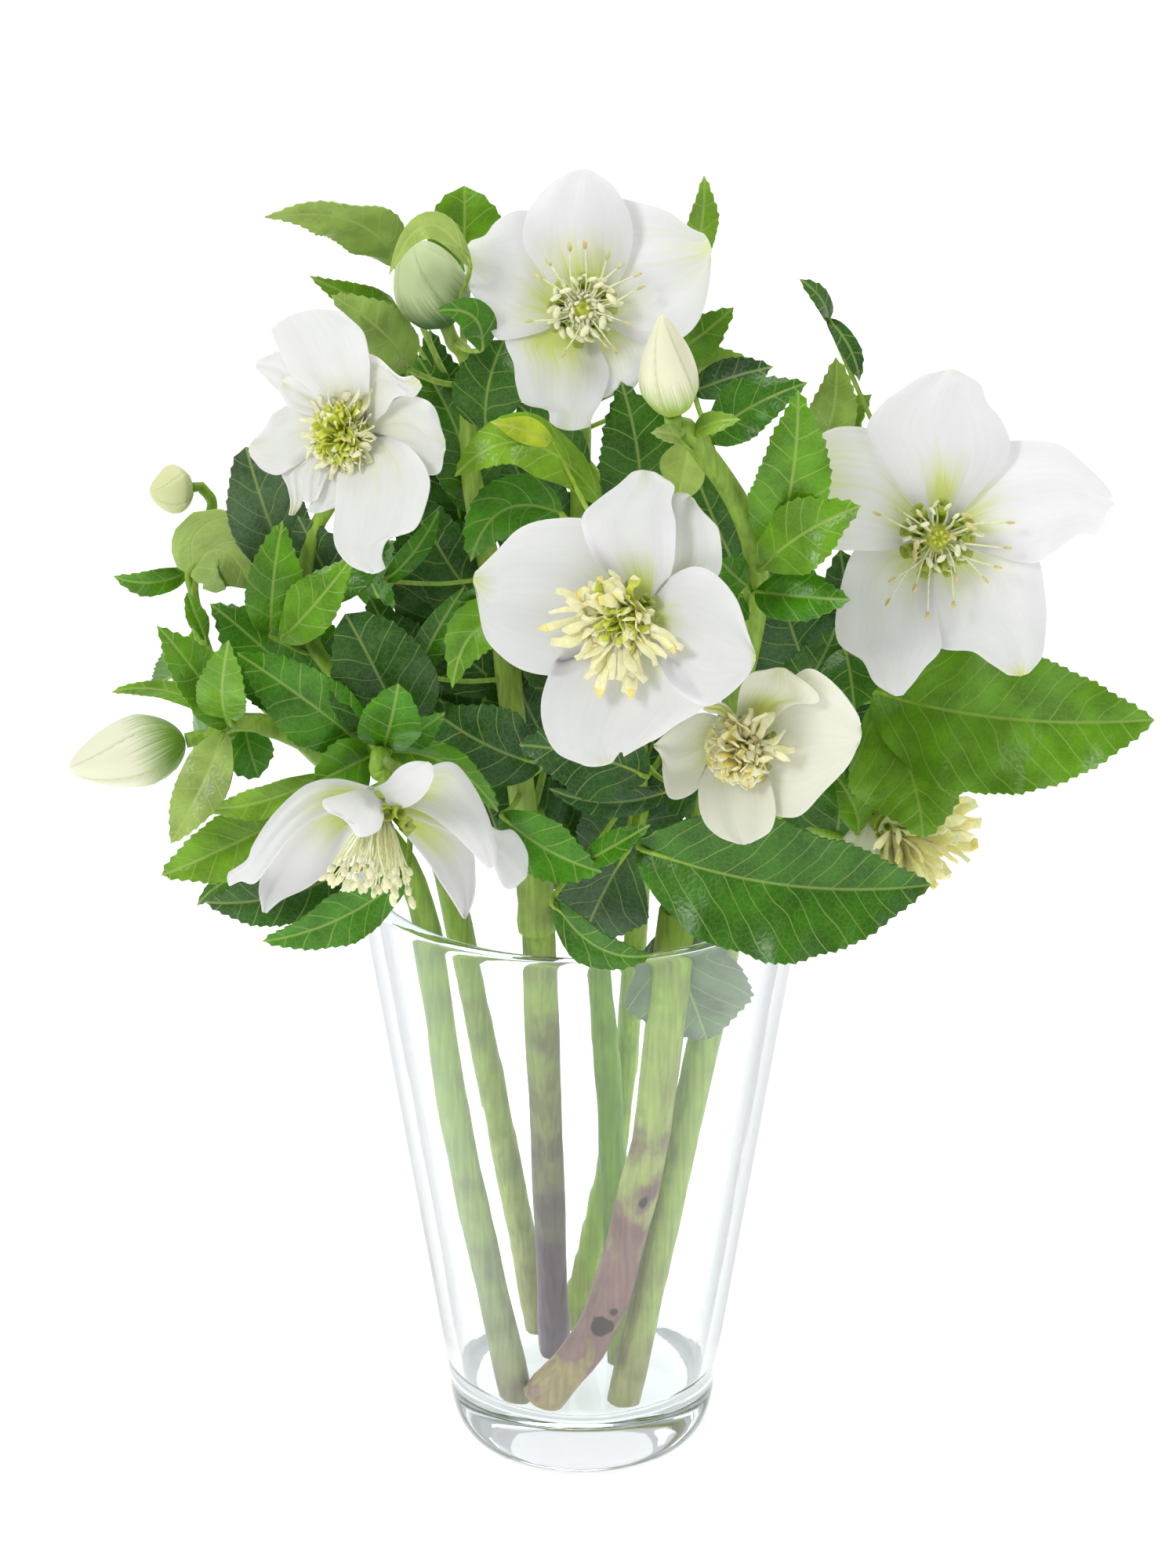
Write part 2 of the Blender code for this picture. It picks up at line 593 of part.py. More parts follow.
def make_centre_stem():
    """Yellow-green, it runs forward to the large bloom in the middle."""
    stem = Node("centre_stem", GREEN)
    back, way = bloom("centre_bloom", (806, 778), 92, -14, 12, (
        (96, 37, 34, 18, 6, 9), (8, 34, 38, 16, 4, 9), (-100, 42, 42, 20, 8, 9),
        (168, 42, 44, 18, 8, 9), (52, 34, 26, 2, -6, 9)),
        open_heart(13, 20, 2.0, lean=(-0.45, -0.35)))
    stem.tube([place(-3, 25, 20.2), place(9, 23, 80), place(14, 18, 125), place(17, 0, 190), place(16, -28, 240),
               back - way * 26 * MM + place(0, 0, -12), back - way * 10 * MM, back], 4.3, 2.3)
    stem.leaf((765, 640), (580, 608), (56, 64), 17, via=(665, 575), roll=30, fold=4, teeth=0.02)
    stem.leaf((705, 565), (625, 538), (58, 62), 7, roll=10, teeth=0)
    stem.leaf((715, 655), (600, 716), (52, 60), 17, via=(640, 650), roll=-10)
    stem.leaf((690, 800), (577, 878), (62, 66), 14, via=(615, 800), roll=5)
    stem.leaf((660, 750), (582, 768), (58, 62), 11, roll=-10)
    stem.leaf((825, 990), (662, 950), (50, 52), 22, roll=-5)
    stem.leaf((860, 1005), (700, 1005), (44, 42), 9, roll=-30)
    stem.leaf((800, 1085), (738, 1214), (34, 38), 25, roll=-15)
    stem.leaf((860, 940), (905, 1058), (14, 18), 20, roll=6)
    stem.leaf((705, 1145), (832, 1218), (60, 74), 12, via=(768, 1200), roll=35)
    stem.back_leaf((22, 6, 205), (34, 72, 196), 30)
    stem.join()


def make_thick_stem():
    """In front in the vase, thick and scarred, cut slanting, up to the upright bud and the cream bloom."""
    stem = Node("thick_stem", GREEN)
    base, way = bud("upright_bud", seen(858, 528, 84), seen(845, 402, 90), 20)
    back, back_way = bloom("cream_bloom", (962, 948), 84, -22, 8, (
        (66, 30, 32, 28, 75, 9), (0, 38, 40, 26, 30, 9), (-76, 33, 32, 26, 5, 9),
        (-140, 30, 24, 28, 15, 9), (148, 26, 26, 30, 50, 9)),
        open_heart(9.5, 25, 1.6, lowest=40))
    stem.tube([place(-12, -27, 23.3), place(6, -27, 52), place(20, -26, 110), place(28, -28, 186)],
              6.2, 5.6)
    stem.tube([place(28, -28, 186), place(38, -36, 230), seen(965, 720, 66), seen(885, 560, 80),
               base - way * 5 * MM, base], 4.4, 2.4)
    stem.stalk([seen(905, 1040, 50), back - back_way * 14 * MM, back], 2.2, 2.1)
    stem.leaf((948, 742), (880, 585), (42, 46), 22, roll=-10)
    stem.leaf((885, 500), (986, 468), (20, 24), 11, roll=-20)
    stem.leaf((905, 560), (1030, 488), (34, 44), 15, roll=-15)
    stem.leaf((985, 700), (1018, 497), (72, 78), 22, roll=5)
    stem.leaf((975, 722), (1098, 645), (76, 84), 19, roll=-5)
    stem.leaf((965, 755), (1085, 765), (74, 84), 15, roll=-20)
    stem.leaf((950, 745), (915, 712), (70, 74), 10, roll=10)
    stem.leaf((945, 760), (925, 805), (68, 74), 10, roll=10)
    stem.leaf((885, 555), (945, 535), (82, 88), 6, roll=-20)
    stem.leaf((868, 562), (830, 552), (86, 94), 5, roll=20)
    stem.leaf((880, 560), (865, 640), (72, 70), 12, roll=20, teeth=0)
    stem.leaf((815, 1080), (1188, 1128), (66, 72), 39, via=(1000, 1116), roll=18, rows=11, fold=20)
    stem.leaf((852, 1185), (900, 1322), (24, 22), 32, roll=10, rows=8)
    stem.join()


def make_right_stem():
    """Frayed at its foot, up to the right bloom, the fringed one behind, and the large right leaves."""
    stem = Node("right_stem", GREEN)
    back, way = bloom("right_bloom", (1193, 688), 50, 4, 24, (
        (84, 48, 42, 8, 2, 9), (14, 51, 38, 8, 4, 9), (-56, 46, 42, 10, 4, 9),
        (-112, 46, 42, 8, 2, 9), (160, 46, 38, 10, 4, 9)),
        open_heart(8, 25, splay=1.7))
    fringe, fringe_way = bloom("fringed_bloom", (1120, 1050), 14, 52, -8, (
        (90, 22, 22, 30, 30, 9), (18, 24, 22, 35, 25, 9), (-54, 22, 20, 30, 25, 9),
        (-126, 22, 20, 30, 25, 9), (162, 22, 20, 30, 30, 9)),
        open_heart(15, 20, 2.0, lean=(0.1, -0.3)))
    stem.tube([place(12, -23, 20.3), place(30, -18, 110), place(45, -14, 186)], 4.8, 4.6)
    stem.tube([place(45, -14, 186), place(66, -14, 235), place(84, -20, 270), back - way * 14 * MM, back],
              4.2, 2.4)
    stem.stalk([seen(1080, 1070, 8), fringe - fringe_way * 8 * MM, fringe], 2.1, 2.0)
    stem.leaf((1115, 882), (1475, 918), (24, 44), 42, via=(1290, 914), roll=6, rows=11, fold=14)
    stem.leaf((1122, 892), (1178, 1070), (24, 42), 31, via=(1165, 985), roll=12, rows=8)
    stem.leaf((1078, 828), (1090, 906), (48, 60), 15, roll=5, outline=round_outline)
    stem.leaf((1056, 408), (1020, 356), (4, 10), 6, roll=30, outline=lance_outline, teeth=0.05)
    stem.leaf((1056, 408), (1096, 486), (4, 12), 6, roll=-20, outline=lance_outline, teeth=0.05)
    stem.leaf((1045, 570), (1066, 455), (2, 8), 13, roll=10)
    stem.leaf((1060, 570), (1112, 503), (-2, 4), 10, roll=-10)
    stem.leaf((1095, 1060), (1062, 985), (20, 24), 9, roll=10, teeth=0, root=(1080, 1070, 8))
    stem.leaf((1020, 800), (958, 655), (12, 20), 22, roll=-6)
    stem.leaf((1000, 900), (1066, 800), (40, 44), 16, roll=10)
    stem.back_leaf((72, 2, 246), (104, 60, 240), 32)
    stem.back_leaf((88, 4, 290), (116, 54, 306), 26)
    stem.join()


for old in list(bpy.data.objects):
    bpy.data.objects.remove(old)
model = bpy.data.collections.new("hellebore_bunch")
bpy.context.scene.collection.children.link(model)

GLASS = make_material("clear glass", "E8F0F2", 0.03, 0.9)
GREEN = make_material("stem and leaf green", "5E9636", 0.45)
SEPAL = make_material("white sepal", "F4F3EE", 0.5)
STAMEN = make_material("cream stamens", "E6E2A4", 0.6)
BUD = make_material("pale green bud", "DDE3B4", 0.5)

make_vase()
make_far_left_stem()
make_left_stem()
make_inner_left_stem()
make_middle_stem()
make_centre_stem()
make_thick_stem()
make_right_stem()
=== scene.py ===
"""Hellebore stems in flower in a clear glass vase: the looks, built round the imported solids.

Metres, +Z up, seen from -Y. Leaves and blooms are placed as in the solids, in the picture plane of the
view from the front: a place is given by its pixel in a 1500 x 2000 picture, and by how many millimetres it
stands toward the viewer from the vase's axis.
"""

import math

import bmesh
import bpy
from mathutils import Matrix, Vector
from mathutils.kdtree import KDTree


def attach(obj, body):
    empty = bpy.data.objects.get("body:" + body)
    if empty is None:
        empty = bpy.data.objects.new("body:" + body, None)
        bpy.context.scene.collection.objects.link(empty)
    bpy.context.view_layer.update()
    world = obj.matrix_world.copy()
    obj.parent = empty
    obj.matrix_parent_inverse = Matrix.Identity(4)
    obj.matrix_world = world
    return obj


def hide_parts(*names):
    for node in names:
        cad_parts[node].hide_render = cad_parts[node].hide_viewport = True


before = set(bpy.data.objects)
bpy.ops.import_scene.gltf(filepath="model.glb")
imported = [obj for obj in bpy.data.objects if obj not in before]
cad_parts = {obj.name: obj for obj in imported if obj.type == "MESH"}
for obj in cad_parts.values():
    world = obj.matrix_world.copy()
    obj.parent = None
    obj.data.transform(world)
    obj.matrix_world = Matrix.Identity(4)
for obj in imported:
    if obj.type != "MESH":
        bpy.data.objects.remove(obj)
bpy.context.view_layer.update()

# Vase
# Clear soda-lime glass, pressed in a turned mould and fire-polished: a thick foot, a straight wall that
# flares to the rim, and a round lip. The stems stand on its floor, and nothing is fixed to it.
MM = 0.001
MERGE_DISTANCE = 0.00002
VASE_HEIGHT = 188 * MM
VASE_FOOT_RADIUS = 32 * MM
VASE_BASE_RADIUS = 40.3 * MM
VASE_BASE_HEIGHT = 18 * MM
VASE_RIM_RADIUS = 66.5 * MM
VASE_WALL = 3.8 * MM
VASE_FLOOR = 19 * MM
VASE_STEPS = 144
LONG_STRETCH = 8 * MM
STREAKS_PER_MM = 0.16


def hex_to_linear(text):
    channels = [int(text[i:i + 2], 16) / 255 for i in (0, 2, 4)]
    return [c / 12.92 if c <= 0.04045 else ((c + 0.055) / 1.055) ** 2.4 for c in channels] + [1.0]


def add_node(tree, kind, inputs=None, **settings):
    """A shader node with its settings, and its inputs by name or number.

    An input is a value, a hex colour, a socket to link, or a node whose first output is linked.
    """
    node = tree.nodes.new("ShaderNode" + kind)
    for name, value in settings.items():
        setattr(node, name, value)
    for name, value in (inputs or {}).items():
        if isinstance(value, bpy.types.Node):
            value = value.outputs[0]
        if isinstance(value, bpy.types.NodeSocket):
            tree.links.new(value, node.inputs[name])
        else:
            node.inputs[name].default_value = hex_to_linear(value) if isinstance(value, str) else value
    return node


def new_material(name):
    """A material and its tree, still without nodes."""
    material = bpy.data.materials.new(name)
    material.use_nodes = True
    material.node_tree.nodes.clear()
    return material, material.node_tree


def finish_piece(name, bm, materials, slot, *replaced):
    """Makes the mesh a piece that rides with the bunch and stands for the named solids."""
    for face in bm.faces:
        face.smooth = True
    mesh = bpy.data.meshes.new(name)
    bm.to_mesh(mesh)
    bm.free()
    for material in materials:
        mesh.materials.append(material)
    piece = bpy.data.objects.new(name, mesh)
    bpy.context.scene.collection.objects.link(piece)
    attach(piece, "root")
    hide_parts(*replaced)
    return piece


def make_vase_glass():
    """Polished clear glass. Its faint blue-grey body shows where it is thick, and a painted blue-grey shade
    darkens the wall where it is seen edge on, in place of dark edges from the surroundings.

    Light that the lip would carry round and round inside goes straight on instead.
    """
    material, tree = new_material("polished clear soda-lime glass")
    # Painted edge shade: the base colour goes dark blue-grey where the wall is seen edge on, more weakly in
    # the foot.
    edge_on = add_node(tree, "LayerWeight", {"Blend": 0.5})
    grazing = add_node(tree, "MapRange", {"Value": edge_on.outputs["Facing"], "From Min": 0.45,
                                          "From Max": 0.9})
    where = add_node(tree, "TexCoord")
    height = add_node(tree, "SeparateXYZ", {0: where.outputs["Object"]})
    wall = add_node(tree, "MapRange", {"Value": height.outputs[2], "From Min": VASE_BASE_HEIGHT,
                                       "From Max": VASE_BASE_HEIGHT * 2, "To Min": 0.25})
    share = add_node(tree, "Math", {0: grazing, 1: wall}, operation="MULTIPLY")
    painted_edge_shade = add_node(tree, "Mix", {0: share, 6: "FCFEFE", 7: "343642"}, data_type="RGBA")
    drawn = add_node(tree, "Mapping", {"Vector": where.outputs["Object"], "Scale": (1, 1, 0.08)})
    streaks = add_node(tree, "TexNoise", {"Vector": drawn, "Scale": STREAKS_PER_MM / MM, "Detail": 2.0})
    wavy = add_node(tree, "Bump", {"Strength": 0.12, "Distance": 0.25 * MM, "Height": streaks})
    glass = add_node(tree, "BsdfPrincipled", {"Base Color": painted_edge_shade.outputs[2], "Roughness": 0.0, "IOR": 1.47,
                                              "Transmission Weight": 1.0, "Normal": wavy})
    through = add_node(tree, "BsdfTransparent", {"Color": "F4F7F7"})
    path = add_node(tree, "LightPath")
    lit = add_node(tree, "Math", {0: path.outputs["Is Shadow Ray"], 1: path.outputs["Is Diffuse Ray"]},
                   operation="MAXIMUM")
    trapped = add_node(tree, "Math", {0: path.outputs["Ray Depth"], 1: 4.5}, operation="GREATER_THAN")
    straight = add_node(tree, "Math", {0: lit, 1: trapped}, operation="MAXIMUM")
    mixed = add_node(tree, "MixShader", {0: straight, 1: glass, 2: through})
    body = add_node(tree, "VolumeAbsorption", {"Color": "94989E", "Density": 6.0})
    add_node(tree, "OutputMaterial", {"Surface": mixed, "Volume": body})
    return material


def make_vase():
    """Turned from its profile: inner floor, inner wall, lip, outer wall, rounded base and foot.

    A long straight stretch gets a point near each end, so that it is shaded flat up to its corners.
    """
    slope = (VASE_RIM_RADIUS - VASE_BASE_RADIUS) / (VASE_HEIGHT - VASE_BASE_HEIGHT)
    inner_base = VASE_BASE_RADIUS - VASE_WALL
    lip = VASE_WALL / 2
    lip_middle = VASE_RIM_RADIUS - lip
    corner = 5 * MM
    profile = [(0, VASE_FLOOR), (inner_base * 0.5, VASE_FLOOR)]
    for degrees in range(-90, 1, 15):
        turn = math.radians(degrees)
        lean = slope * corner if degrees == 0 else 0
        profile.append((inner_base - corner + corner * math.cos(turn) + lean,
                        VASE_FLOOR + corner + corner * math.sin(turn)))
    for degrees in range(170, 0, -20):
        turn = math.radians(degrees)
        profile.append((lip_middle + lip * math.cos(turn), VASE_HEIGHT - lip + lip * math.sin(turn)))
    profile.append((VASE_RIM_RADIUS, VASE_HEIGHT - lip * 1.4))
    bulge = VASE_BASE_RADIUS - VASE_FOOT_RADIUS
    for degrees in range(0, -85, -10):
        turn = math.radians(degrees)
        profile.append((VASE_FOOT_RADIUS + bulge * math.cos(turn),
                        VASE_BASE_HEIGHT + VASE_BASE_HEIGHT * math.sin(turn)))
    profile += [(VASE_FOOT_RADIUS, 0), (VASE_FOOT_RADIUS * 0.5, 0), (0, 0)]
    held = [profile[0]]
    for (x, z), (next_x, next_z) in zip(profile, profile[1:]):
        if math.hypot(next_x - x, next_z - z) > LONG_STRETCH:
            held += [(x + (next_x - x) * share, z + (next_z - z) * share) for share in (0.01, 0.99)]
        held.append((next_x, next_z))
    bm = bmesh.new()
    verts = [bm.verts.new((x, 0, z)) for x, z in held]
    edges = [bm.edges.new(pair) for pair in zip(verts, verts[1:])]
    bmesh.ops.spin(bm, geom=verts + edges, axis=(0, 0, 1), cent=(0, 0, 0), steps=VASE_STEPS,
                   angle=2 * math.pi, use_merge=True)
    bmesh.ops.remove_doubles(bm, verts=bm.verts, dist=MERGE_DISTANCE)
    bmesh.ops.recalc_face_normals(bm, faces=bm.faces)
    finish_piece("glass_vase", bm, [make_vase_glass()], "vase_glass", "vase")


make_vase()

# Far left stem
# A cut flowering stem, green above and paler in the vase, with toothed leaves in a whorl, a long pale bud
# and a small nodding one on its own stalk. Stalks are drawn out from a circle, leaves are shaped grids.
VIEW_AIM = Vector((1.8, 0.0, 213.5)) * MM
VIEW_DISTANCE = 2070 * MM
VIEW_ELEVATION = math.radians(24.5)
VIEW_FOCAL_PIXELS = 9000
PICTURE_MIDDLE = (750, 1000)
TO_VIEWER = Vector((0, -math.cos(VIEW_ELEVATION), math.sin(VIEW_ELEVATION)))
EYE = VIEW_AIM + TO_VIEWER * VIEW_DISTANCE
GAP = 0.3 * MM
ROOT_DROP = 10 * MM
LEAF_THICKNESS = 0.5 * MM
TOOTH_SPACING = 2.6 * MM
TOOTH_DEPTH = 0.75 * MM
FULL_TOOTH_WIDTH = 10 * MM
VEIN_SPACING_MM = 6.5
VEIN_SLANT = 0.84
NET_CELLS_PER_MM = 0.55
CLOUDS_PER_MM = 0.09
SWEEPS_PER_MM = 0.07
DULL_PATCHES_PER_MM = 0.22
QUILT_HEIGHT = 0.42 * MM
PATTERN_STEP = 40
NARROW_BLADE_MM = 12
BROAD_BLADE_MM = 26
RIB_STEPS = 10
RIB_SINK_MM = 0.25
STALK_END = 9
RIBS_PER_MM = 0.9
BLOTCHES_PER_MM = 0.09
GREEN_FROM = 260 * MM


def sight(u, v):
    """The way from the eye through pixel (u, v)."""
    up = Vector((0, math.sin(VIEW_ELEVATION), math.cos(VIEW_ELEVATION)))
    across = (u - PICTURE_MIDDLE[0]) / VIEW_FOCAL_PIXELS
    rise = (PICTURE_MIDDLE[1] - v) / VIEW_FOCAL_PIXELS
    return -TO_VIEWER + Vector((1, 0, 0)) * across + up * rise


def seen(u, v, toward):
    """The place that shows at pixel (u, v), toward millimetres in front of the vase's axis."""
    ray = sight(u, v)
    return EYE + ray * ((-toward * MM - EYE.y) / ray.y)


def on_plane(u, v, point, normal):
    """The place on the plane through a point that shows at pixel (u, v)."""
    ray = sight(u, v)
    return EYE + ray * ((point - EYE).dot(normal) / ray.dot(normal))


def place(x, y, z):
    """A place given in millimetres from the middle of the foot."""
    return Vector((x, y, z)) * MM


def smooth_path(points, per_span):
    """Places along a smooth curve through the given ones."""
    ends = [points[0] * 2 - points[1]] + list(points) + [points[-1] * 2 - points[-2]]
    path = []
    for i in range(1, len(ends) - 2):
        a, b, c, d = ends[i - 1:i + 3]
        for step in range(per_span):
            t = step / per_span
            path.append(0.5 * ((2 * b) + (c - a) * t + (2 * a - 5 * b + 4 * c - d) * t * t
                               + (3 * b - a - 3 * c + d) * t ** 3))
    return path + [points[-1]]


def grow_stalk(bm, path, radii, sides, material=0, flat=1.0, thin=None):
    """Draws a closed stalk along a path, from a circle that turns with it, and returns its end.

    A flat one is thinner by its flat share in the direction thin.
    """
    way = (path[1] - path[0]).normalized()
    turned = way.to_track_quat("Z", "Y").to_matrix()
    if thin:
        depth = (thin - way * thin.dot(way)).normalized()
        turned = Matrix((depth.cross(way), depth, way)).transposed()
    start = Matrix.Translation(path[0]) @ turned.to_4x4() @ Matrix.Diagonal((1, flat, 1, 1))
    ring = bmesh.ops.create_circle(bm, cap_ends=True, segments=sides, radius=radii[0], matrix=start)["verts"]
    face = ring[0].link_faces[0]
    face.material_index = material
    for i in range(1, len(path)):
        after = path[min(i + 1, len(path) - 1)]
        new_way = (after - path[i - 1]).normalized()
        turn = way.rotation_difference(new_way).to_matrix()
        grown = bmesh.ops.extrude_face_region(bm, geom=[face])["geom"]
        if i > 1:
            bm.faces.remove(face)
        face = next(g for g in grown if isinstance(g, bmesh.types.BMFace))
        for vert in face.verts:
            vert.co = path[i] + turn @ (vert.co - path[i - 1]) * (radii[i] / radii[i - 1])
        way = new_way
    return face


def leaf_outline(s):
    """How far a blade reaches from its rib at a share s of its length, as a share of half its width."""
    return 0.16 * (1 - s) + math.sin(math.pi * s ** 0.85) ** 0.9


def lance_outline(s):
    """The same for a narrow, pointed bract."""
    return 0.25 * (1 - s) + 0.9 * math.sin(math.pi * s ** 0.9) ** 0.8


def round_outline(s):
    """The same for a broad, blunt leaf."""
    return 0.3 * (1 - s) + 0.92 * math.sin(math.pi * s ** 1.1) ** 0.6


def make_leaf_surface(name, under):
    """A hellebore leaf's skin: leathery, with a waxy shine above, duller and paler beneath.

    growth is a point's millimetres from the midrib and from the foot, and its leaf's tone, from 0, an old
    blue-green leaf, to 1, a young yellow-green bract. The veins are worked out from it.
    """
    material, tree = new_material(name)
    growth = add_node(tree, "Attribute", attribute_name="growth")
    parts = add_node(tree, "SeparateXYZ", {0: growth.outputs["Vector"]})
    wander = add_node(tree, "TexNoise", {"Vector": growth.outputs["Vector"], "Scale": DULL_PATCHES_PER_MM,
                                         "Detail": 2.0})
    cloud = add_node(tree, "TexNoise", {"Vector": growth.outputs["Vector"], "Scale": CLOUDS_PER_MM,
                                        "Detail": 3.0})
    across = add_node(tree, "Math", {0: parts}, operation="ABSOLUTE")
    slant = add_node(tree, "Math", {0: across, 1: -VEIN_SLANT, 2: parts.outputs[1]},
                     operation="MULTIPLY_ADD")
    sweep = add_node(tree, "TexNoise", {"Vector": growth.outputs["Vector"], "Scale": SWEEPS_PER_MM,
                                        "Detail": 0.5})
    swayed = add_node(tree, "Math", {0: sweep, 1: 8.0, 2: slant}, operation="MULTIPLY_ADD")
    saw = add_node(tree, "Math", {0: swayed, 1: VEIN_SPACING_MM / 2}, operation="PINGPONG")
    lateral = add_node(tree, "MapRange", {"Value": saw, "From Min": 0.08, "From Max": 0.27, "To Min": 0.95,
                                          "To Max": 0.0})
    midrib = add_node(tree, "MapRange", {"Value": across, "From Min": 0.25, "From Max": 0.6, "To Min": 1.0,
                                         "To Max": 0.0})
    cells = add_node(tree, "TexVoronoi", {"Vector": growth.outputs["Vector"], "Scale": NET_CELLS_PER_MM},
                     feature="DISTANCE_TO_EDGE")
    net = add_node(tree, "MapRange", {"Value": cells, "From Min": 0.02, "From Max": 0.08, "To Min": 0.2,
                                      "To Max": 0.0})
    main = add_node(tree, "Math", {0: lateral, 1: midrib}, operation="MAXIMUM")
    veins = add_node(tree, "Math", {0: main, 1: net}, operation="MAXIMUM")
    tones = add_node(tree, "ValToRGB", {"Fac": parts.outputs[2]})
    ramp = tones.color_ramp.elements
    ramp[0].color = hex_to_linear("6C8262")
    ramp[1].color = hex_to_linear("BED42C")
    for position, colour in ((0.1, "30582A"), (0.25, "33660C"), (0.5, "468A04"), (0.72, "7CAA1C"),
                             (0.86, "A0BA60")):
        ramp.new(position).color = hex_to_linear(colour)
    mottle = add_node(tree, "MapRange", {"Value": cloud, "From Min": 0.35, "From Max": 0.65, "To Min": 0.74,
                                         "To Max": 1.22})
    shaded = add_node(tree, "VectorMath", {0: tones, "Scale": mottle}, operation="SCALE")
    pale = add_node(tree, "Mix", {0: 0.6 if under else 0.52, 6: tones, 7: "C6DC7A"}, data_type="RGBA")
    skin = add_node(tree, "Mix", {0: 0.35 if under else 0.0, 6: shaded, 7: "9DB98A"}, data_type="RGBA")
    strength = add_node(tree, "Math", {0: veins, 1: 0.75 if under else 0.7}, operation="MULTIPLY")
    colour = add_node(tree, "Mix", {0: strength, 6: skin.outputs[2], 7: pale.outputs[2]}, data_type="RGBA")
    pillow = add_node(tree, "MapRange", {"Value": cells, "From Max": 0.35})
    sunk = add_node(tree, "Math", {0: main, 1: -1.0, 2: pillow}, operation="MULTIPLY_ADD")
    relief = add_node(tree, "Bump", {"Strength": 0.4, "Distance": 0.16 * MM, "Height": sunk}, invert=under)
    shine = add_node(tree, "MapRange", {"Value": wander, "To Min": 0.6 if under else 0.22,
                                        "To Max": 0.75 if under else 0.45})
    leaf = add_node(tree, "BsdfPrincipled", {"Base Color": colour.outputs[2], "Roughness": shine,
                                             "Normal": relief, "Specular IOR Level": 0.1 if under else 0.35})
    add_node(tree, "OutputMaterial", {"Surface": leaf})
    return material


def make_stalk_skin(name, foot, inside, above, scars=(), brown_to=0.12, band=None):
    """A smooth, faintly ribbed stalk skin, with its colours from the cut foot up.

    Each scar is a place and its size in millimetres, where the skin has gone black, and band a colour that
    lies between the foot's and the inside's.
    """
    material, tree = new_material(name)
    where = add_node(tree, "TexCoord")
    height = add_node(tree, "SeparateXYZ", {0: where.outputs["Object"]})
    run = add_node(tree, "MapRange", {"Value": height.outputs[2], "From Min": VASE_FLOOR,
                                      "From Max": GREEN_FROM, "To Min": -0.07, "To Max": 0.93})
    stretch = add_node(tree, "Mapping", {"Vector": where.outputs["Object"], "Scale": (1, 1, 0.06)})
    ribs = add_node(tree, "TexNoise", {"Vector": stretch, "Scale": RIBS_PER_MM / MM, "Detail": 3.0})
    blotch = add_node(tree, "TexNoise", {"Vector": where.outputs["Object"], "Scale": BLOTCHES_PER_MM / MM,
                                         "Detail": 4.0})
    shift = add_node(tree, "Math", {0: blotch, 1: 0.5, 2: run}, operation="MULTIPLY_ADD")
    colours = add_node(tree, "ValToRGB", {"Fac": shift})
    ramp = colours.color_ramp.elements
    ramp[0].position = brown_to
    ramp[0].color = hex_to_linear(foot)
    ramp[1].position = 0.95
    ramp[1].color = hex_to_linear(above)
    ramp.new(brown_to + (0.32 if band else 0.24)).color = hex_to_linear(inside)
    if band:
        ramp.new(brown_to + 0.05).color = hex_to_linear(band)
        ramp.new(brown_to + 0.22).color = hex_to_linear(band)
    scarred = add_node(tree, "MapRange", {"Value": blotch, "From Min": 0.62, "From Max": 0.8,
                                          "To Max": 0.45})
    for spot, size in scars:
        near = add_node(tree, "VectorMath", {0: where.outputs["Object"], 1: spot}, operation="DISTANCE")
        ragged = add_node(tree, "Math", {0: blotch, 1: 9 * MM, 2: near.outputs["Value"]},
                          operation="MULTIPLY_ADD")
        black = add_node(tree, "MapRange", {"Value": ragged, "From Min": (size + 4.1) * MM,
                                            "From Max": (size + 4.8) * MM, "To Min": 0.95, "To Max": 0.0})
        scarred = add_node(tree, "Math", {0: scarred, 1: black}, operation="MAXIMUM")
    rough = add_node(tree, "Math", {0: ribs, 1: blotch}, operation="ADD")
    streaks = add_node(tree, "MapRange", {"Value": rough, "From Min": 0.75, "From Max": 1.25, "To Min": 0.72,
                                          "To Max": 1.22})
    ribbed = add_node(tree, "VectorMath", {0: colours, "Scale": streaks}, operation="SCALE")
    skin = add_node(tree, "Mix", {0: scarred, 6: ribbed, 7: "2A2322"}, data_type="RGBA")
    relief = add_node(tree, "Bump", {"Strength": 0.4, "Distance": 0.2 * MM, "Height": ribs})
    stalk = add_node(tree, "BsdfPrincipled", {"Base Color": skin.outputs[2], "Roughness": 0.48,
                                              "Normal": relief, "Subsurface Weight": 0.2,
                                              "Subsurface Radius": (0.6, 1.0, 0.2),
                                              "Subsurface Scale": 2 * MM})
    add_node(tree, "OutputMaterial", {"Surface": stalk})
    return material


def finish_thin_piece(name, bm, materials, thickness, slot, *replaced):
    """Makes a sheet of leaf or sepal a piece with a wall half on each side and a sharp rim.

    Of two materials, the second is the far side's.
    """
    for edge in bm.edges:
        edge.smooth = not edge.is_boundary
    wall = finish_piece(name, bm, materials, slot, *replaced).modifiers.new("thickness", "SOLIDIFY")
    wall.thickness = thickness
    wall.offset = 0
    wall.material_offset = len(materials) - 1


LEAF_UPPER = make_leaf_surface("hellebore leaf, waxy upper side", False)
LEAF_UNDER = make_leaf_surface("hellebore leaf, dull underside", True)


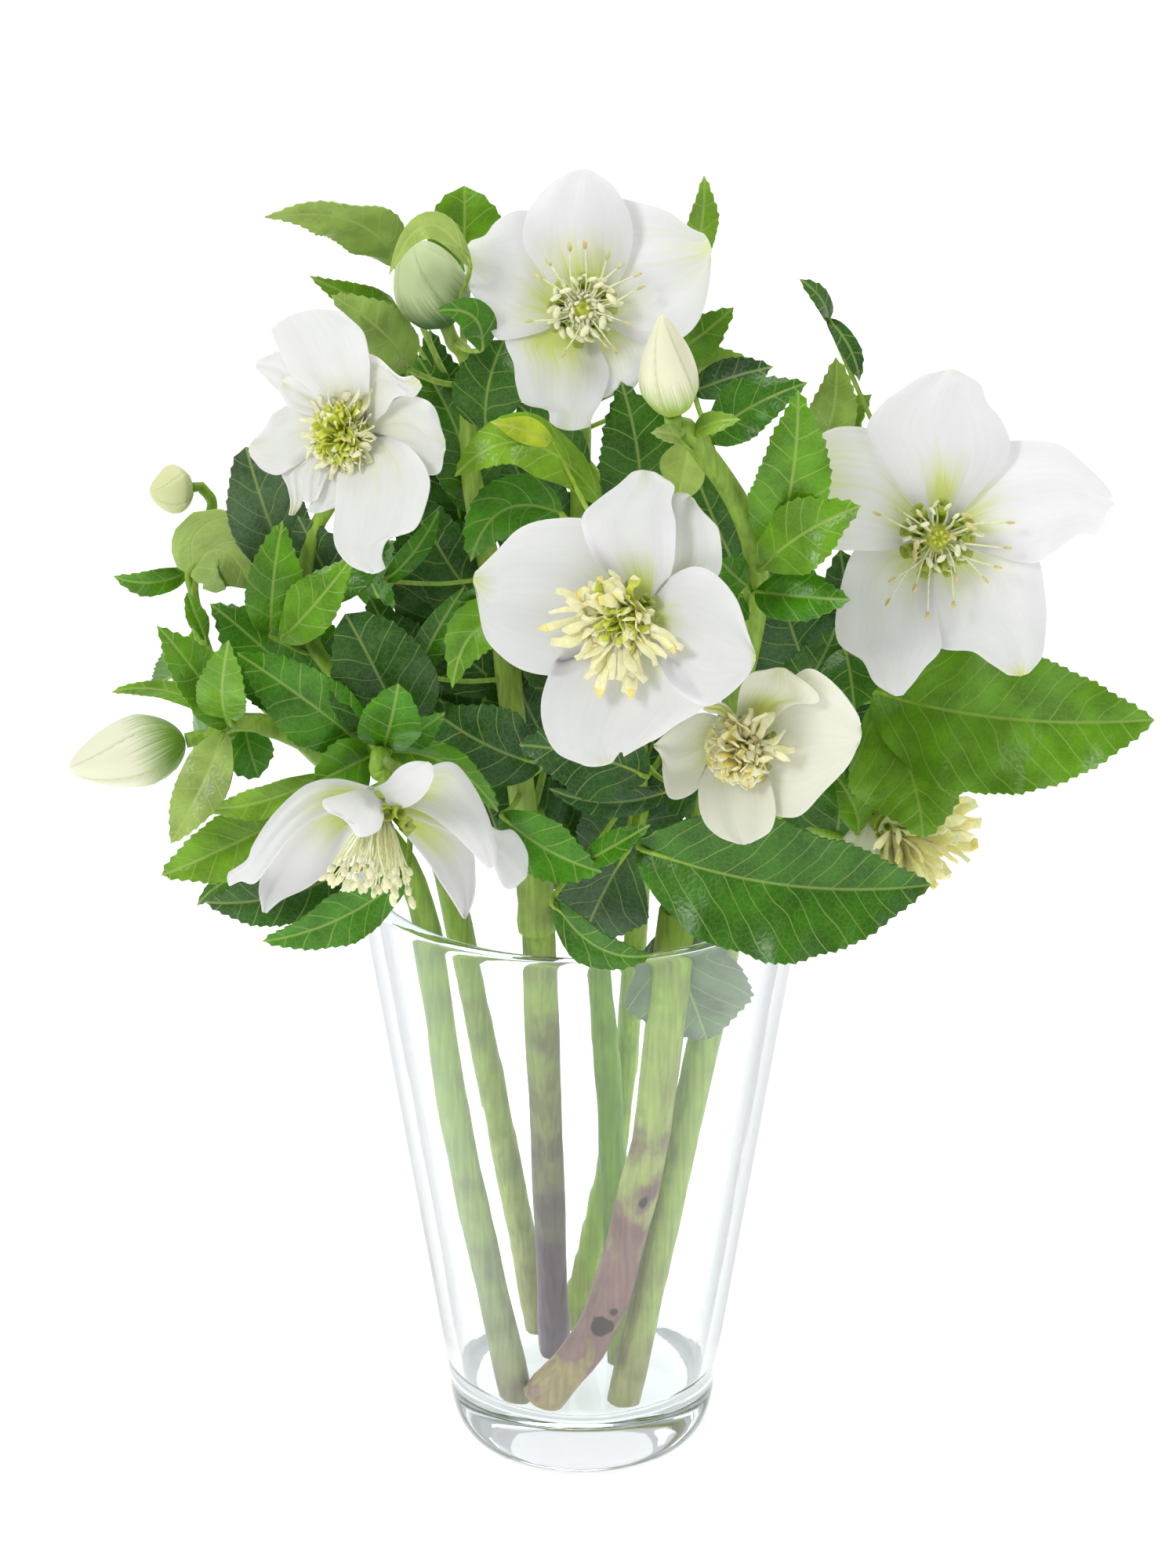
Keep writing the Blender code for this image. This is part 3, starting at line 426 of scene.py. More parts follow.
class Stem:
    """One leafy stem: a mesh of its stalks and a mesh of its blades, which grow from the same line."""

    def __init__(self, name):
        self.name = name
        self.stalks = bmesh.new()
        self.blades = bmesh.new()
        self.blades.loops.layers.uv.new("blade")
        self.growth = self.blades.verts.layers.float_vector.new("growth")
        self.spots = []
        self.count = 0

    def tube(self, points, radius, end_radius=None, sides=14, swell=0.05):
        """A stalk through the given places, whose last stretch is straight."""
        end_radius = end_radius or radius
        coarse = smooth_path(points[:-1], 2) + [points[-1]] if len(points) > 2 else list(points)
        for a, b in zip(coarse, coarse[1:]):
            self.spots += [a.lerp(b, k / 5) for k in range(5)]
        if len(points) > 2:
            path = smooth_path(points[:-1], 7)
            path += [path[-1].lerp(points[-1], k / 3) for k in (1, 2, 3)]
        else:
            path = [points[0].lerp(points[1], k / 4) for k in range(5)]
        last = len(path) - 1
        radii = [(radius + (end_radius - radius) * i / last) * (1 + swell * math.sin(i * 1.7) ** 3) * MM
                 for i in range(last + 1)]
        grow_stalk(self.stalks, path, radii, sides)

    def nearest(self, point):
        """The nearest place on the middle of the stalks so far."""
        tree = KDTree(len(self.spots))
        for i, spot in enumerate(self.spots):
            tree.insert(spot, i)
        tree.balance()
        return Vector(tree.find(point)[0])

    def stalk(self, points, radius, end_radius=None):
        """A side stalk that starts in the middle of the stalk nearest to it."""
        self.tube([self.nearest(points[0])] + list(points), radius, end_radius, 10)

    def leaf(self, base, tip, toward, width, tone, via=None, roll=0, arch=0.1, fold=12, outline=leaf_outline,
             teeth=1.0, root=None):
        """A toothed blade from the pixel base to the pixel tip, turned to the viewer but for its roll."""
        start = seen(*base, toward[0])
        end = seen(*tip, toward[1])
        sway = (end - start).cross(TO_VIEWER) * (0.06 * math.sin(self.count * 2.9))
        middle = seen(*via, (toward[0] + toward[1]) / 2) if via else start.lerp(end, 0.5) + sway
        root = seen(*root) if root else start
        self.blade(start, middle, end, TO_VIEWER, width, tone, roll, arch, fold, outline, teeth, root)

    def back_leaf(self, start, end, width, tone=0.4):
        """A leaf on the side away from the viewer, arching out and over from start to end."""
        start = place(*start)
        end = place(*end)
        self.blade(start, start.lerp(end, 0.5), end, Vector((0, 0.5, 1)), width, tone, arch=0.14)

    def blade(self, start, middle, end, toward, width, tone, roll=0, arch=0.1, fold=12, outline=leaf_outline,
              teeth=1.0, root=None):
        """A blade through three places, facing toward, on a stalk from the stem nearest to root."""
        self.count += 1
        phase = self.count * 2.4 + len(self.name)
        run = end - start
        way = run.normalized()
        face = Matrix.Rotation(math.radians(roll), 3, way) @ (toward - way * toward.dot(way)).normalized()
        control = (middle + face * (arch * run.length)) * 2 - (start + end) * 0.5
        half = width / 2 * MM
        rise = math.tan(math.radians(fold))
        root = self.nearest((root or start) - Vector((0, 0, ROOT_DROP)))
        rows = 2 * max(6, int(run.length / TOOTH_SPACING))
        columns = 8 if width < NARROW_BLADE_MM else 12 if width < BROAD_BLADE_MM else 20

        def centre(s):
            return start * (1 - s) ** 2 + control * 2 * s * (1 - s) + end * s * s

        def side(s):
            along = ((control - start) * (1 - s) + (end - control) * s).normalized()
            return along.cross(face).normalized() * half

        grid = bmesh.ops.create_grid(self.blades, x_segments=columns, y_segments=rows, size=0.5,
                                     calc_uvs=True)
        ends = [vert for vert in grid["verts"] if abs(vert.co.y) > 0.499]
        for vert in grid["verts"]:
            row = round((vert.co.y + 0.5) * rows)
            c = vert.co.x * 2
            s = row / rows
            reach = 0 if row == rows else outline(s)
            if teeth and 2 < row < rows and abs(c) > 0.99:
                outer = row % 2 == 0
                bite = teeth * TOOTH_DEPTH * min(1, half / FULL_TOOTH_WIDTH)
                bite *= 0.7 + 0.5 * math.sin(row * 2.3 + phase)
                reach += max(bite / half * (0.6 if outer else -0.4), -0.3 * reach)
                s = min(1, s + (0.55 if outer else 0) / rows)
            reach *= 1 + 0.05 * math.sin(s * 8 + phase + c)
            across = c * reach * half / MM
            along = s * run.length / MM
            quilt = (along - VEIN_SLANT * abs(across)) / VEIN_SPACING_MM
            lift = abs(across) * MM * rise
            swell = 0.5 - 0.5 * math.cos(2 * math.pi * quilt)
            lift += QUILT_HEIGHT * swell * min(1, abs(across) / 2) * (1 - c ** 4)
            lift += (0.08 + 0.1 * tone) * half * reach * c * c * math.sin(along / 3.6 + phase + c)
            vert.co = centre(s) + side(s) * c * reach + face * lift
            vert[self.growth] = (across, along + self.count * PATTERN_STEP, tone)
        # Each end row closes to a point, and nothing else is merged.
        bmesh.ops.remove_doubles(self.blades, verts=ends, dist=MERGE_DISTANCE)
        rib = smooth_path([root, root.lerp(start, 0.5) + Vector((0, 0, -1.5 * MM)), start, centre(0.12)], 4)
        rib += [centre(k / RIB_STEPS) - face * RIB_SINK_MM * MM for k in range(2, RIB_STEPS)]
        last = len(rib) - 1
        size = min(1.2, 0.55 + width / 45)
        radii = [size * (1 if i < STALK_END else 0.72 - 0.5 * (i - STALK_END) / (last - STALK_END)) * MM
                 for i in range(last + 1)]
        grow_stalk(self.stalks, rib, radii, 8)

    def finish(self, skin):
        """Makes the stalks and the blades two pieces that stand for the stem's solid."""
        bmesh.ops.recalc_face_normals(self.stalks, faces=self.stalks.faces)
        finish_piece(self.name + "_stalks", self.stalks, [skin], "leaf_green", self.name)
        finish_thin_piece(self.name + "_leaves", self.blades, [LEAF_UPPER, LEAF_UNDER], LEAF_THICKNESS,
                          "leaf_green", self.name)


def under(bud):
    """The place just under a bud, where its stalk ends, and the way that the bud points."""
    way = (bud[1] - bud[0]).normalized()
    return bud[0] - way * GAP, way


stem = Stem("far_left_stem")
long_bud = (seen(236, 945, 44), seen(88.6, 980, 52), 22)
small_bud = (seen(243, 622, 12), seen(192, 628, 18), 15)
base, way = under(long_bud)
small_base, small_way = under(small_bud)
stem.tube([place(-19, -21.5, 20.2), place(-36, -22, 110), place(-47, -24, 186),
           seen(456, 1022, 34), seen(395, 950, 42), seen(330, 922, 46), seen(292, 920, 46)], 4.7, 2.8)
stem.stalk([base - way * 7 * MM, base], 1.9, 2.3)
stem.stalk([seen(270, 850, 40), seen(247, 760, 22), seen(252, 700, 14),
            small_base - small_way * 2 * MM + place(4, 0, -6), small_base - small_way * 3 * MM,
            small_base], 1.8, 1.5)
stem.leaf((290, 925), (200, 798), (48, 58), 15, 0.58, roll=20)
stem.leaf((292, 922), (246, 800), (44, 44), 12, 0.62, roll=-30)
stem.leaf((290, 915), (292, 816), (56, 76), 14, 0.6, roll=-10)
stem.leaf((285, 915), (143, 883), (42, 30), 7, 0.65, roll=40, outline=lance_outline)
stem.leaf((285, 935), (218, 1076), (52, 66), 14, 0.85, roll=10, teeth=0.4)
stem.leaf((312, 930), (330, 992), (40, 40), 13, 0.5, roll=-20)
stem.leaf((262, 815), (238, 756), (36, 30), 6, 0.6, roll=30, outline=lance_outline)
stem.leaf((240, 732), (322, 752), (20, 24), 24, 0.86, via=(285, 700), roll=15, outline=round_outline,
          teeth=0.3)
stem.leaf((240, 728), (145, 735), (16, 20), 8.5, 0.55, roll=-35)
stem.leaf((300, 935), (262, 960), (30, -20), 20, 0.45, roll=30)
stem.leaf((440, 1110), (262, 1150), (44, 42), 16, 0.2, roll=-20)
stem.leaf((340, 1105), (252, 1155), (40, 36), 7, 0.3, roll=30)
stem.back_leaf((-97, 14, 236), (-128, 52, 222), 24)
stem.finish(make_stalk_skin("far left stalk skin", "8E8866", "92A070", "8FB33A"))

# Left stem
# Leans left behind the rim to a leafy whorl over the nodding bloom, and on to the upper left bloom. The
# old leaves on it have gone blue-green. Its pedicels end in the blooms' receptacles.
NODDING = (seen(487, 1018, 75), -12, -44)
UPPER_LEFT = (seen(455, 556, 60), -32, 18)
RECEPTACLE_HEIGHT = 2.4 * MM


def facing_of(yaw, pitch):
    """The way that a bloom faces: degrees to the right of the front, and degrees up."""
    yaw = math.radians(yaw)
    pitch = math.radians(pitch)
    return Vector((math.sin(yaw) * math.cos(pitch), -math.cos(yaw) * math.cos(pitch), math.sin(pitch)))


def behind(bloom):
    """The place behind a bloom's receptacle where its pedicel ends, and the way that the bloom faces."""
    facing = facing_of(*bloom[1:])
    return bloom[0] - facing * (RECEPTACLE_HEIGHT / 2 + GAP), facing


stem = Stem("left_stem")
nod, nod_way = behind(NODDING)
upper, upper_way = behind(UPPER_LEFT)
stem.tube([place(-13.5, 24, 20.3), place(-26, 12, 100), place(-40, -2, 186),
           seen(534, 1045, 22), seen(490, 952, 48)], 4.6, 3.6)
stem.stalk([seen(483, 960, 66), seen(480, 985, 70), nod - nod_way * 6 * MM, nod], 1.9, 2.0)
stem.stalk([seen(440, 880, 48), seen(392, 800, 44), seen(400, 680, 34),
            upper - upper_way * 12 * MM, upper], 2.4, 2.1)
stem.leaf((515, 935), (440, 783), (46, 52), 29, 0.18, roll=10, outline=round_outline, teeth=0.3)
stem.leaf((490, 950), (508, 872), (58, 72), 17, 0.48, roll=5, outline=round_outline, teeth=0.4)
stem.leaf((500, 950), (568, 908), (56, 62), 9, 0.5, roll=30)
stem.leaf((460, 948), (302, 832), (54, 58), 20, 0.42, roll=-12, fold=16)
stem.leaf((345, 810), (360, 664), (44, 40), 15, 0.55, roll=15)
stem.leaf((360, 815), (452, 708), (46, 50), 14, 0.6, roll=-15)
stem.leaf((440, 900), (330, 745), (16, 18), 24, 0.3, roll=8)
stem.leaf((420, 925), (268, 770), (30, 28), 24, 0.42, roll=-8)
stem.leaf((372, 735), (313, 570), (30, 22), 22, 0.06, roll=20, outline=round_outline, teeth=0.6)
stem.leaf((420, 742), (380, 658), (30, 34), 16, 0.08, roll=-15)
stem.leaf((408, 770), (498, 684), (36, 26), 15, 0.42, roll=-12)
stem.leaf((470, 965), (398, 1000), (56, 68), 16, 0.55, roll=-15)
stem.leaf((410, 990), (262, 1032), (56, 62), 10, 0.7, roll=-30)
stem.leaf((360, 1045), (206, 1116), (50, 56), 17, 0.66, roll=-10)
stem.leaf((495, 958), (636, 1036), (54, 60), 12, 0.55, via=(580, 968), roll=35)
stem.leaf((520, 1112), (335, 1200), (52, 60), 15, 0.45, roll=-30)
stem.back_leaf((-58, 14, 262), (-84, 66, 262), 28)
stem.back_leaf((-47, 14, 208), (-70, 68, 186), 28)
stem.finish(make_stalk_skin("left stalk skin", "8E8450", "A2AC6A", "8FB33A"))

# Inner left stem
# Mauve at its foot, with the pale sheath of a cut leaf at the rim, up to the half-open bud and the leaves
# at the top left.
half_bud = (seen(568, 412, 20), seen(528, 312, 26), 22)
half_base, half_way = under(half_bud)
stem = Stem("inner_left_stem")
stem.tube([place(-8.5, 9, 20.1), place(-11, -6, 110), place(-13, -20, 186)], 4.7, 5.0)
stem.tube([place(-13, -20, 176), place(-14, -21, 196), place(-15.5, -21.5, 214)], 5.8, 5.0)
stem.tube([place(-13, -20, 186), seen(665, 1010, 26), seen(640, 800, 18), seen(600, 600, 6),
           seen(598, 470, 12), half_base - half_way * 6 * MM, half_base], 4.4, 2.0)
stem.leaf((505, 338), (338, 277), (-4, 22), 16, 0.84, via=(444, 264), roll=-45, fold=6, root=(598, 500, 12))
stem.leaf((588, 345), (592, 237), (-6, -8), 20, 0.62, roll=5, outline=round_outline, teeth=0.3)
stem.leaf((500, 385), (395, 352), (0, 20), 7.5, 0.65, roll=-20, root=(598, 500, 12))
stem.leaf((520, 470), (422, 376), (16, 36), 15, 0.82, roll=15)
stem.leaf((620, 545), (645, 430), (16, 14), 19, 0.28, roll=-10)
stem.leaf((600, 650), (532, 455), (-2, 8), 19, 0.3, roll=12)
stem.leaf((628, 790), (545, 672), (10, 4), 21, 0.16, roll=12)
stem.leaf((640, 880), (548, 812), (16, 8), 20, 0.14, roll=-8)
stem.leaf((532, 860), (592, 748), (38, 40), 9, 0.32, roll=15, outline=lance_outline, teeth=0)
stem.leaf((492, 740), (560, 650), (30, 26), 7, 0.45, roll=10, outline=lance_outline, teeth=0)
stem.leaf((690, 975), (545, 900), (44, 42), 22, 0.14, roll=-10)
stem.leaf((640, 1040), (768, 1112), (56, 66), 17, 0.5, roll=20)
stem.leaf((590, 680), (548, 420), (-12, -10), 26, 0.2, roll=6)
stem.leaf((560, 560), (498, 425), (-8, -4), 17, 0.3, roll=-10)
stem.leaf((600, 860), (520, 610), (-12, -8), 28, 0.18, roll=-6)
stem.leaf((600, 980), (470, 760), (-6, 0), 30, 0.2, roll=8)
stem.leaf((640, 1080), (560, 890), (0, 4), 26, 0.16, roll=-8)
stem.leaf((700, 950), (642, 815), (8, 14), 26, 0.14, roll=5)
stem.leaf((600, 340), (496, 352), (38, 40), 7, 0.88, via=(545, 286), roll=-10, teeth=0)
stem.leaf((614, 446), (556, 396), (34, 42), 10, 0.45, via=(598, 400), teeth=0)
stem.leaf((745, 1100), (830, 1052), (62, 70), 8.5, 0.42, roll=-25)
stem.back_leaf((-34, 8, 290), (-48, 66, 316), 26)
stem.finish(make_stalk_skin("mauve-footed stalk skin", "6E5A64", "868A58", "9DBB4C", brown_to=0.34))

# Middle stem
# Stands behind the others in the vase and runs straight up to the bloom at the top.
TOP = (seen(743, 397, 30), 0, 26)
back, way = behind(TOP)
stem = Stem("middle_stem")
stem.tube([place(12, 4, 19.5), place(8, 7, 110), place(2, 14, 186), place(-1, 16, 250),
           seen(742, 520, 5), back - way * 12 * MM, back], 4.4, 2.2)
stem.leaf((880, 345), (898, 224), (2, 6), 9, 0.7, roll=25)
stem.leaf((860, 450), (936, 392), (-2, 4), 11, 0.6, roll=10)
stem.leaf((870, 480), (968, 465), (-6, 2), 9, 0.8, roll=-20)
stem.leaf((815, 650), (792, 486), (36, 40), 22, 0.26, roll=5)
stem.leaf((752, 880), (668, 742), (18, 22), 24, 0.2, roll=8)
stem.leaf((700, 790), (640, 560), (-12, -8), 26, 0.22, roll=8)
stem.leaf((735, 1090), (690, 880), (-6, 2), 26, 0.16, roll=-8)
stem.leaf((720, 1130), (612, 960), (0, 6), 24, 0.2, roll=12)
stem.leaf((790, 1120), (850, 900), (0, 8), 28, 0.12, roll=10)
stem.leaf((760, 700), (845, 560), (-6, -2), 24, 0.2, roll=-12)
stem.leaf((790, 800), (900, 610), (-8, 0), 26, 0.16, roll=6)
stem.leaf((745, 600), (658, 512), (14, 18), 14, 0.28, roll=-15)
stem.back_leaf((2, 26, 262), (8, 88, 258), 34)
stem.back_leaf((0, 24, 322), (-14, 70, 344), 26)
stem.back_leaf((-4, 24, 212), (-28, 78, 205), 28)
stem.finish(make_stalk_skin("middle stalk skin", "8C8452", "6F9A30", "8FB33A"))

# Centre stem
# A yellow-green stem that runs forward to the large bloom in the middle, with young bright leaves above
# and old dark ones low on it.
CENTRE = (seen(806, 778, 92), -14, 12)
back, way = behind(CENTRE)
stem = Stem("centre_stem")
stem.tube([place(-3, 25, 20.2), place(9, 23, 80), place(14, 18, 125), place(17, 0, 190), place(16, -28, 240),
           back - way * 26 * MM + place(0, 0, -12), back - way * 10 * MM, back], 4.3, 2.3)
stem.leaf((765, 640), (580, 608), (56, 64), 17, 0.7, via=(665, 575), roll=30, fold=4, teeth=0.2)
stem.leaf((705, 565), (625, 538), (58, 62), 7, 1.0, roll=10, teeth=0)
stem.leaf((715, 655), (600, 716), (52, 60), 17, 0.48, via=(640, 650), roll=-10)
stem.leaf((690, 800), (577, 878), (62, 66), 14, 0.6, via=(615, 800), roll=5)
stem.leaf((660, 750), (582, 768), (58, 62), 11, 0.5, roll=-10)
stem.leaf((825, 990), (662, 950), (50, 52), 22, 0.12, roll=-5)
stem.leaf((860, 1005), (700, 1005), (44, 42), 9, 0.12, roll=-30)
stem.leaf((800, 1085), (738, 1214), (34, 38), 25, 0.08, roll=-15)
stem.leaf((860, 940), (905, 1058), (14, 18), 20, 0.15, roll=6)
stem.leaf((705, 1145), (832, 1218), (60, 74), 12, 0.32, via=(768, 1200), roll=35)
stem.back_leaf((22, 6, 205), (34, 72, 196), 30)
stem.finish(make_stalk_skin("yellow-green stalk skin", "A0A048", "92B63A", "9DBB3C"))

# Thick stem
# In front in the vase, thick and scarred, cut slanting. It carries the upright bud and the cream bloom,
# the glossy toothed leaves beside them, and the large dark leaf that lies over the rim.
CREAM = (seen(962, 948, 84), -22, 8)
upright_bud = (seen(858, 528, 84), seen(845, 402, 90), 18.5)
bud_base, bud_way = under(upright_bud)
SCARS = ((seen(766, 1688, 33), 3.2), (seen(782, 1670, 33), 1.8), (seen(818, 1532, 33), 1.5),
         (seen(779, 1722, 33), 0.8))
back, way = behind(CREAM)
stem = Stem("thick_stem")
stem.tube([place(-12, -27, 23.3), place(6, -27, 52), place(20, -26, 110), place(28, -28, 186)], 6.2, 5.6)
stem.tube([place(28, -28, 186), place(38, -36, 230), seen(965, 720, 66), seen(885, 560, 80),
           bud_base - bud_way * 5 * MM, bud_base], 4.4, 2.4)
stem.stalk([seen(905, 1040, 50), back - way * 14 * MM, back], 2.2, 2.1)
stem.leaf((948, 742), (880, 585), (42, 46), 22, 0.2, roll=-10)
stem.leaf((885, 500), (986, 468), (20, 24), 11, 0.12, roll=-20)
stem.leaf((905, 560), (1030, 488), (34, 44), 15, 0.35, roll=-15)
stem.leaf((985, 700), (1018, 497), (72, 78), 20, 0.58, roll=5)
stem.leaf((975, 722), (1098, 645), (76, 84), 18, 0.62, roll=-5)
stem.leaf((965, 755), (1085, 765), (74, 84), 15, 0.5, roll=-20)
stem.leaf((950, 745), (915, 712), (70, 74), 10, 0.5, roll=10)
stem.leaf((945, 760), (925, 805), (68, 74), 10, 0.45, roll=10)
stem.leaf((885, 555), (945, 535), (82, 88), 6, 0.75, roll=-20)
stem.leaf((868, 562), (830, 552), (86, 94), 5, 0.85, roll=20)
stem.leaf((880, 560), (865, 640), (72, 70), 12, 0.88, roll=20, teeth=0)
stem.leaf((815, 1080), (1188, 1128), (66, 72), 39, 0.32, via=(1000, 1116), roll=18, fold=20)
stem.leaf((852, 1185), (900, 1322), (24, 22), 32, 0, roll=10)
stem.finish(make_stalk_skin("thick scarred stalk skin", "A8976A", "A0A864", "8FB33A", SCARS, 0.22, "8A6C66"))

# Right stem
# Frayed at its foot, up to the right bloom, with the fringed one behind, and the large net-veined leaves.
RIGHT = (seen(1193, 688, 50), 4, 24)
FRINGED = (seen(1120, 1050, 14), 52, -8)
back, way = behind(RIGHT)
fringe, fringe_way = behind(FRINGED)
stem = Stem("right_stem")
stem.tube([place(12, -23, 20.3), place(30, -18, 110), place(45, -14, 186)], 4.8, 4.6)
stem.tube([place(45, -14, 186), place(66, -14, 235), place(84, -20, 270), back - way * 14 * MM, back], 4.2,
          2.4)
stem.stalk([seen(1080, 1070, 8), fringe - fringe_way * 8 * MM, fringe], 2.1, 2.0)
stem.leaf((1115, 882), (1473, 918), (24, 44), 42, 0.6, via=(1290, 914), roll=6, fold=14)
stem.leaf((1122, 892), (1178, 1070), (24, 42), 31, 0.64, via=(1165, 985), roll=12)
stem.leaf((1078, 828), (1090, 906), (48, 60), 15, 0.3, roll=5, outline=round_outline)
stem.leaf((1056, 408), (1020, 356), (4, 10), 6, 0.25, roll=30, outline=lance_outline)
stem.leaf((1056, 408), (1096, 486), (4, 12), 6, 0.18, roll=-20, outline=lance_outline)
stem.leaf((1045, 570), (1066, 455), (2, 8), 13, 0.8, roll=10)
stem.leaf((1060, 570), (1112, 503), (-2, 4), 10, 0.75, roll=-10)
stem.leaf((1095, 1060), (1062, 985), (20, 24), 9, 0.6, roll=10, teeth=0, root=(1080, 1070, 8))
stem.leaf((1020, 800), (958, 655), (12, 20), 22, 0.15, roll=-6)
stem.leaf((1000, 900), (1066, 800), (40, 44), 16, 0.25, roll=10)
stem.leaf((1050, 900), (988, 730), (8, 14), 30, 0.12, roll=4)
stem.leaf((1090, 920), (1072, 700), (-4, 2), 30, 0.16, roll=-6)
stem.leaf((1060, 1120), (1080, 940), (2, 8), 32, 0.3, roll=8)
stem.back_leaf((72, 2, 246), (104, 60, 240), 32)
stem.back_leaf((88, 4, 290), (116, 54, 306), 26)
stem.finish(make_stalk_skin("right stalk skin", "8C7C5A", "98A85C", "8FB33A"))

# Buds
# Each is an egg of white sepals still wrapped round each other, green where it joins its stalk. They are
# shaped from a sphere, with the edge of each sepal standing over the next and winding up to the tip.
BUD_FOLDS = 5
BUD_TWIST = 0.6
BUD_WIDEST = 0.35
BUD_TAPER = 0.42
BUD_EDGE = 0.09


def make_bud_skin(name, low, high, edge, turns=(0.3, 0.56)):
    """Soft matte sepal backs, with fine veins from the green foot to the pale tip, and a painted darker band
    of shade at the foot of each overlapping sepal edge.
    """
    material, tree = new_material(name)
    growth = add_node(tree, "Attribute", attribute_name="growth")
    parts = add_node(tree, "SeparateXYZ", {0: growth.outputs["Vector"]})
    stretch = add_node(tree, "VectorMath", {0: growth.outputs["Vector"], 1: (30.0, 1.2, 1.0)},
                       operation="MULTIPLY")
    veins = add_node(tree, "TexNoise", {"Vector": stretch, "Scale": 1.0, "Detail": 3.0})
    rise = add_node(tree, "Math", {0: veins, 1: 0.5, 2: parts.outputs[1]}, operation="MULTIPLY_ADD")
    colours = add_node(tree, "ValToRGB", {"Fac": rise})
    ramp = colours.color_ramp.elements
    ramp[0].position = turns[0]
    ramp[0].color = hex_to_linear(low)
    ramp[1].position = turns[1]
    ramp[1].color = hex_to_linear(high)
    # Painted shade: the edge colour darkens a band where each sepal starts under the step of the one before.
    seam_shade = add_node(tree, "MapRange", {"Value": parts, "From Min": 0.0, "From Max": 0.14, "To Min": 0.6,
                                       "To Max": 0.0})
    colour = add_node(tree, "Mix", {0: seam_shade, 6: colours, 7: edge}, data_type="RGBA")
    relief = add_node(tree, "Bump", {"Strength": 0.3, "Distance": 0.15 * MM, "Height": veins})
    skin = add_node(tree, "BsdfPrincipled", {"Base Color": colour.outputs[2], "Roughness": 0.5,
                                             "Normal": relief, "Subsurface Weight": 0.4,
                                             "Subsurface Radius": (1.0, 0.9, 0.5),
                                             "Subsurface Scale": 2 * MM})
    add_node(tree, "OutputMaterial", {"Surface": skin})
    return material


def make_bud(node, bud, skin, taper=BUD_TAPER, widest=BUD_WIDEST):
    """A bud between two places, widest at a share of its height and narrowing by taper to its tip."""
    base, tip, width = bud
    run = tip - base
    frame_turn = run.to_track_quat("Z", "Y").to_matrix()
    bm = bmesh.new()
    growth = bm.verts.layers.float_vector.new("growth")
    bmesh.ops.create_uvsphere(bm, u_segments=90, v_segments=48, radius=1)
    for vert in bm.verts:
        height = (vert.co.z + 1) / 2
        angle = math.atan2(vert.co.y, vert.co.x)
        edge = (angle / (2 * math.pi) * BUD_FOLDS + height * BUD_TWIST) % 1.0
        share = math.hypot(vert.co.x, vert.co.y)
        narrow = 1 - taper * max(0.0, height - widest) / (1 - widest)
        radius = share * narrow * (1 - BUD_EDGE / 2 + BUD_EDGE * edge ** 2) * width / 2 * MM
        vert.co = base + frame_turn @ Vector((radius * math.cos(angle), radius * math.sin(angle),
                                              height * run.length))
        vert[growth] = (edge, height, angle)
    finish_piece(node + "_sepals", bm, [skin], "bud_pale_green", node)


skin = make_bud_skin("long bud sepals", "7FA63A", "EEEED2", "B9C77A", (0.4, 0.74))
make_bud("long_pale_bud", long_bud, skin)
skin = make_bud_skin("small bud sepals", "9FB65A", "DDE0A8", "A9BC6C")
make_bud("small_nodding_bud", small_bud, skin)
# The half-open bud's dark lower green is partly the green foot that every bud has and partly painted shade,
# as under its opening hood.
skin = make_bud_skin("green bud sepals", "43692A", "CBDAA6", "A4BC6E", (0.46, 0.86))
make_bud("half_open_bud", half_bud, skin, taper=0.25, widest=0.4)
skin = make_bud_skin("upright bud sepals", "9DBC4C", "F1EFD0", "C2CF7C", (0.4, 0.7))
make_bud("upright_bud", upright_bud, skin, taper=0.62, widest=0.25)

# Top bloom
# Broad white sepals on a small green receptacle, round a ring of green nectaries, the carpels and a crowd
# of cream stamens. Each sepal is a shaped grid with its own thickness, and a filament is drawn from a circle.
RECEPTACLE_RADIUS = 3.6 * MM
SEPAL_THICKNESS = 0.45 * MM
SEPAL_ROWS = 36
SEPAL_COLUMNS = 24
SEPAL_CLOUDS_PER_MM = 0.12
FLESH_SPOTS_PER_MM = 0.7
DOME_FLAT = 0.7
GOLDEN_ANGLE = math.radians(137.508)
LENGTH_STEP = 0.618
SIZE_STEP = 0.37
SHED_STEP = 0.7549
FILAMENT_STEPS = 5
TONGUE_STEPS = 8
NECTARY_SIDES = 10
PIXELS_PER_MM = 4.35


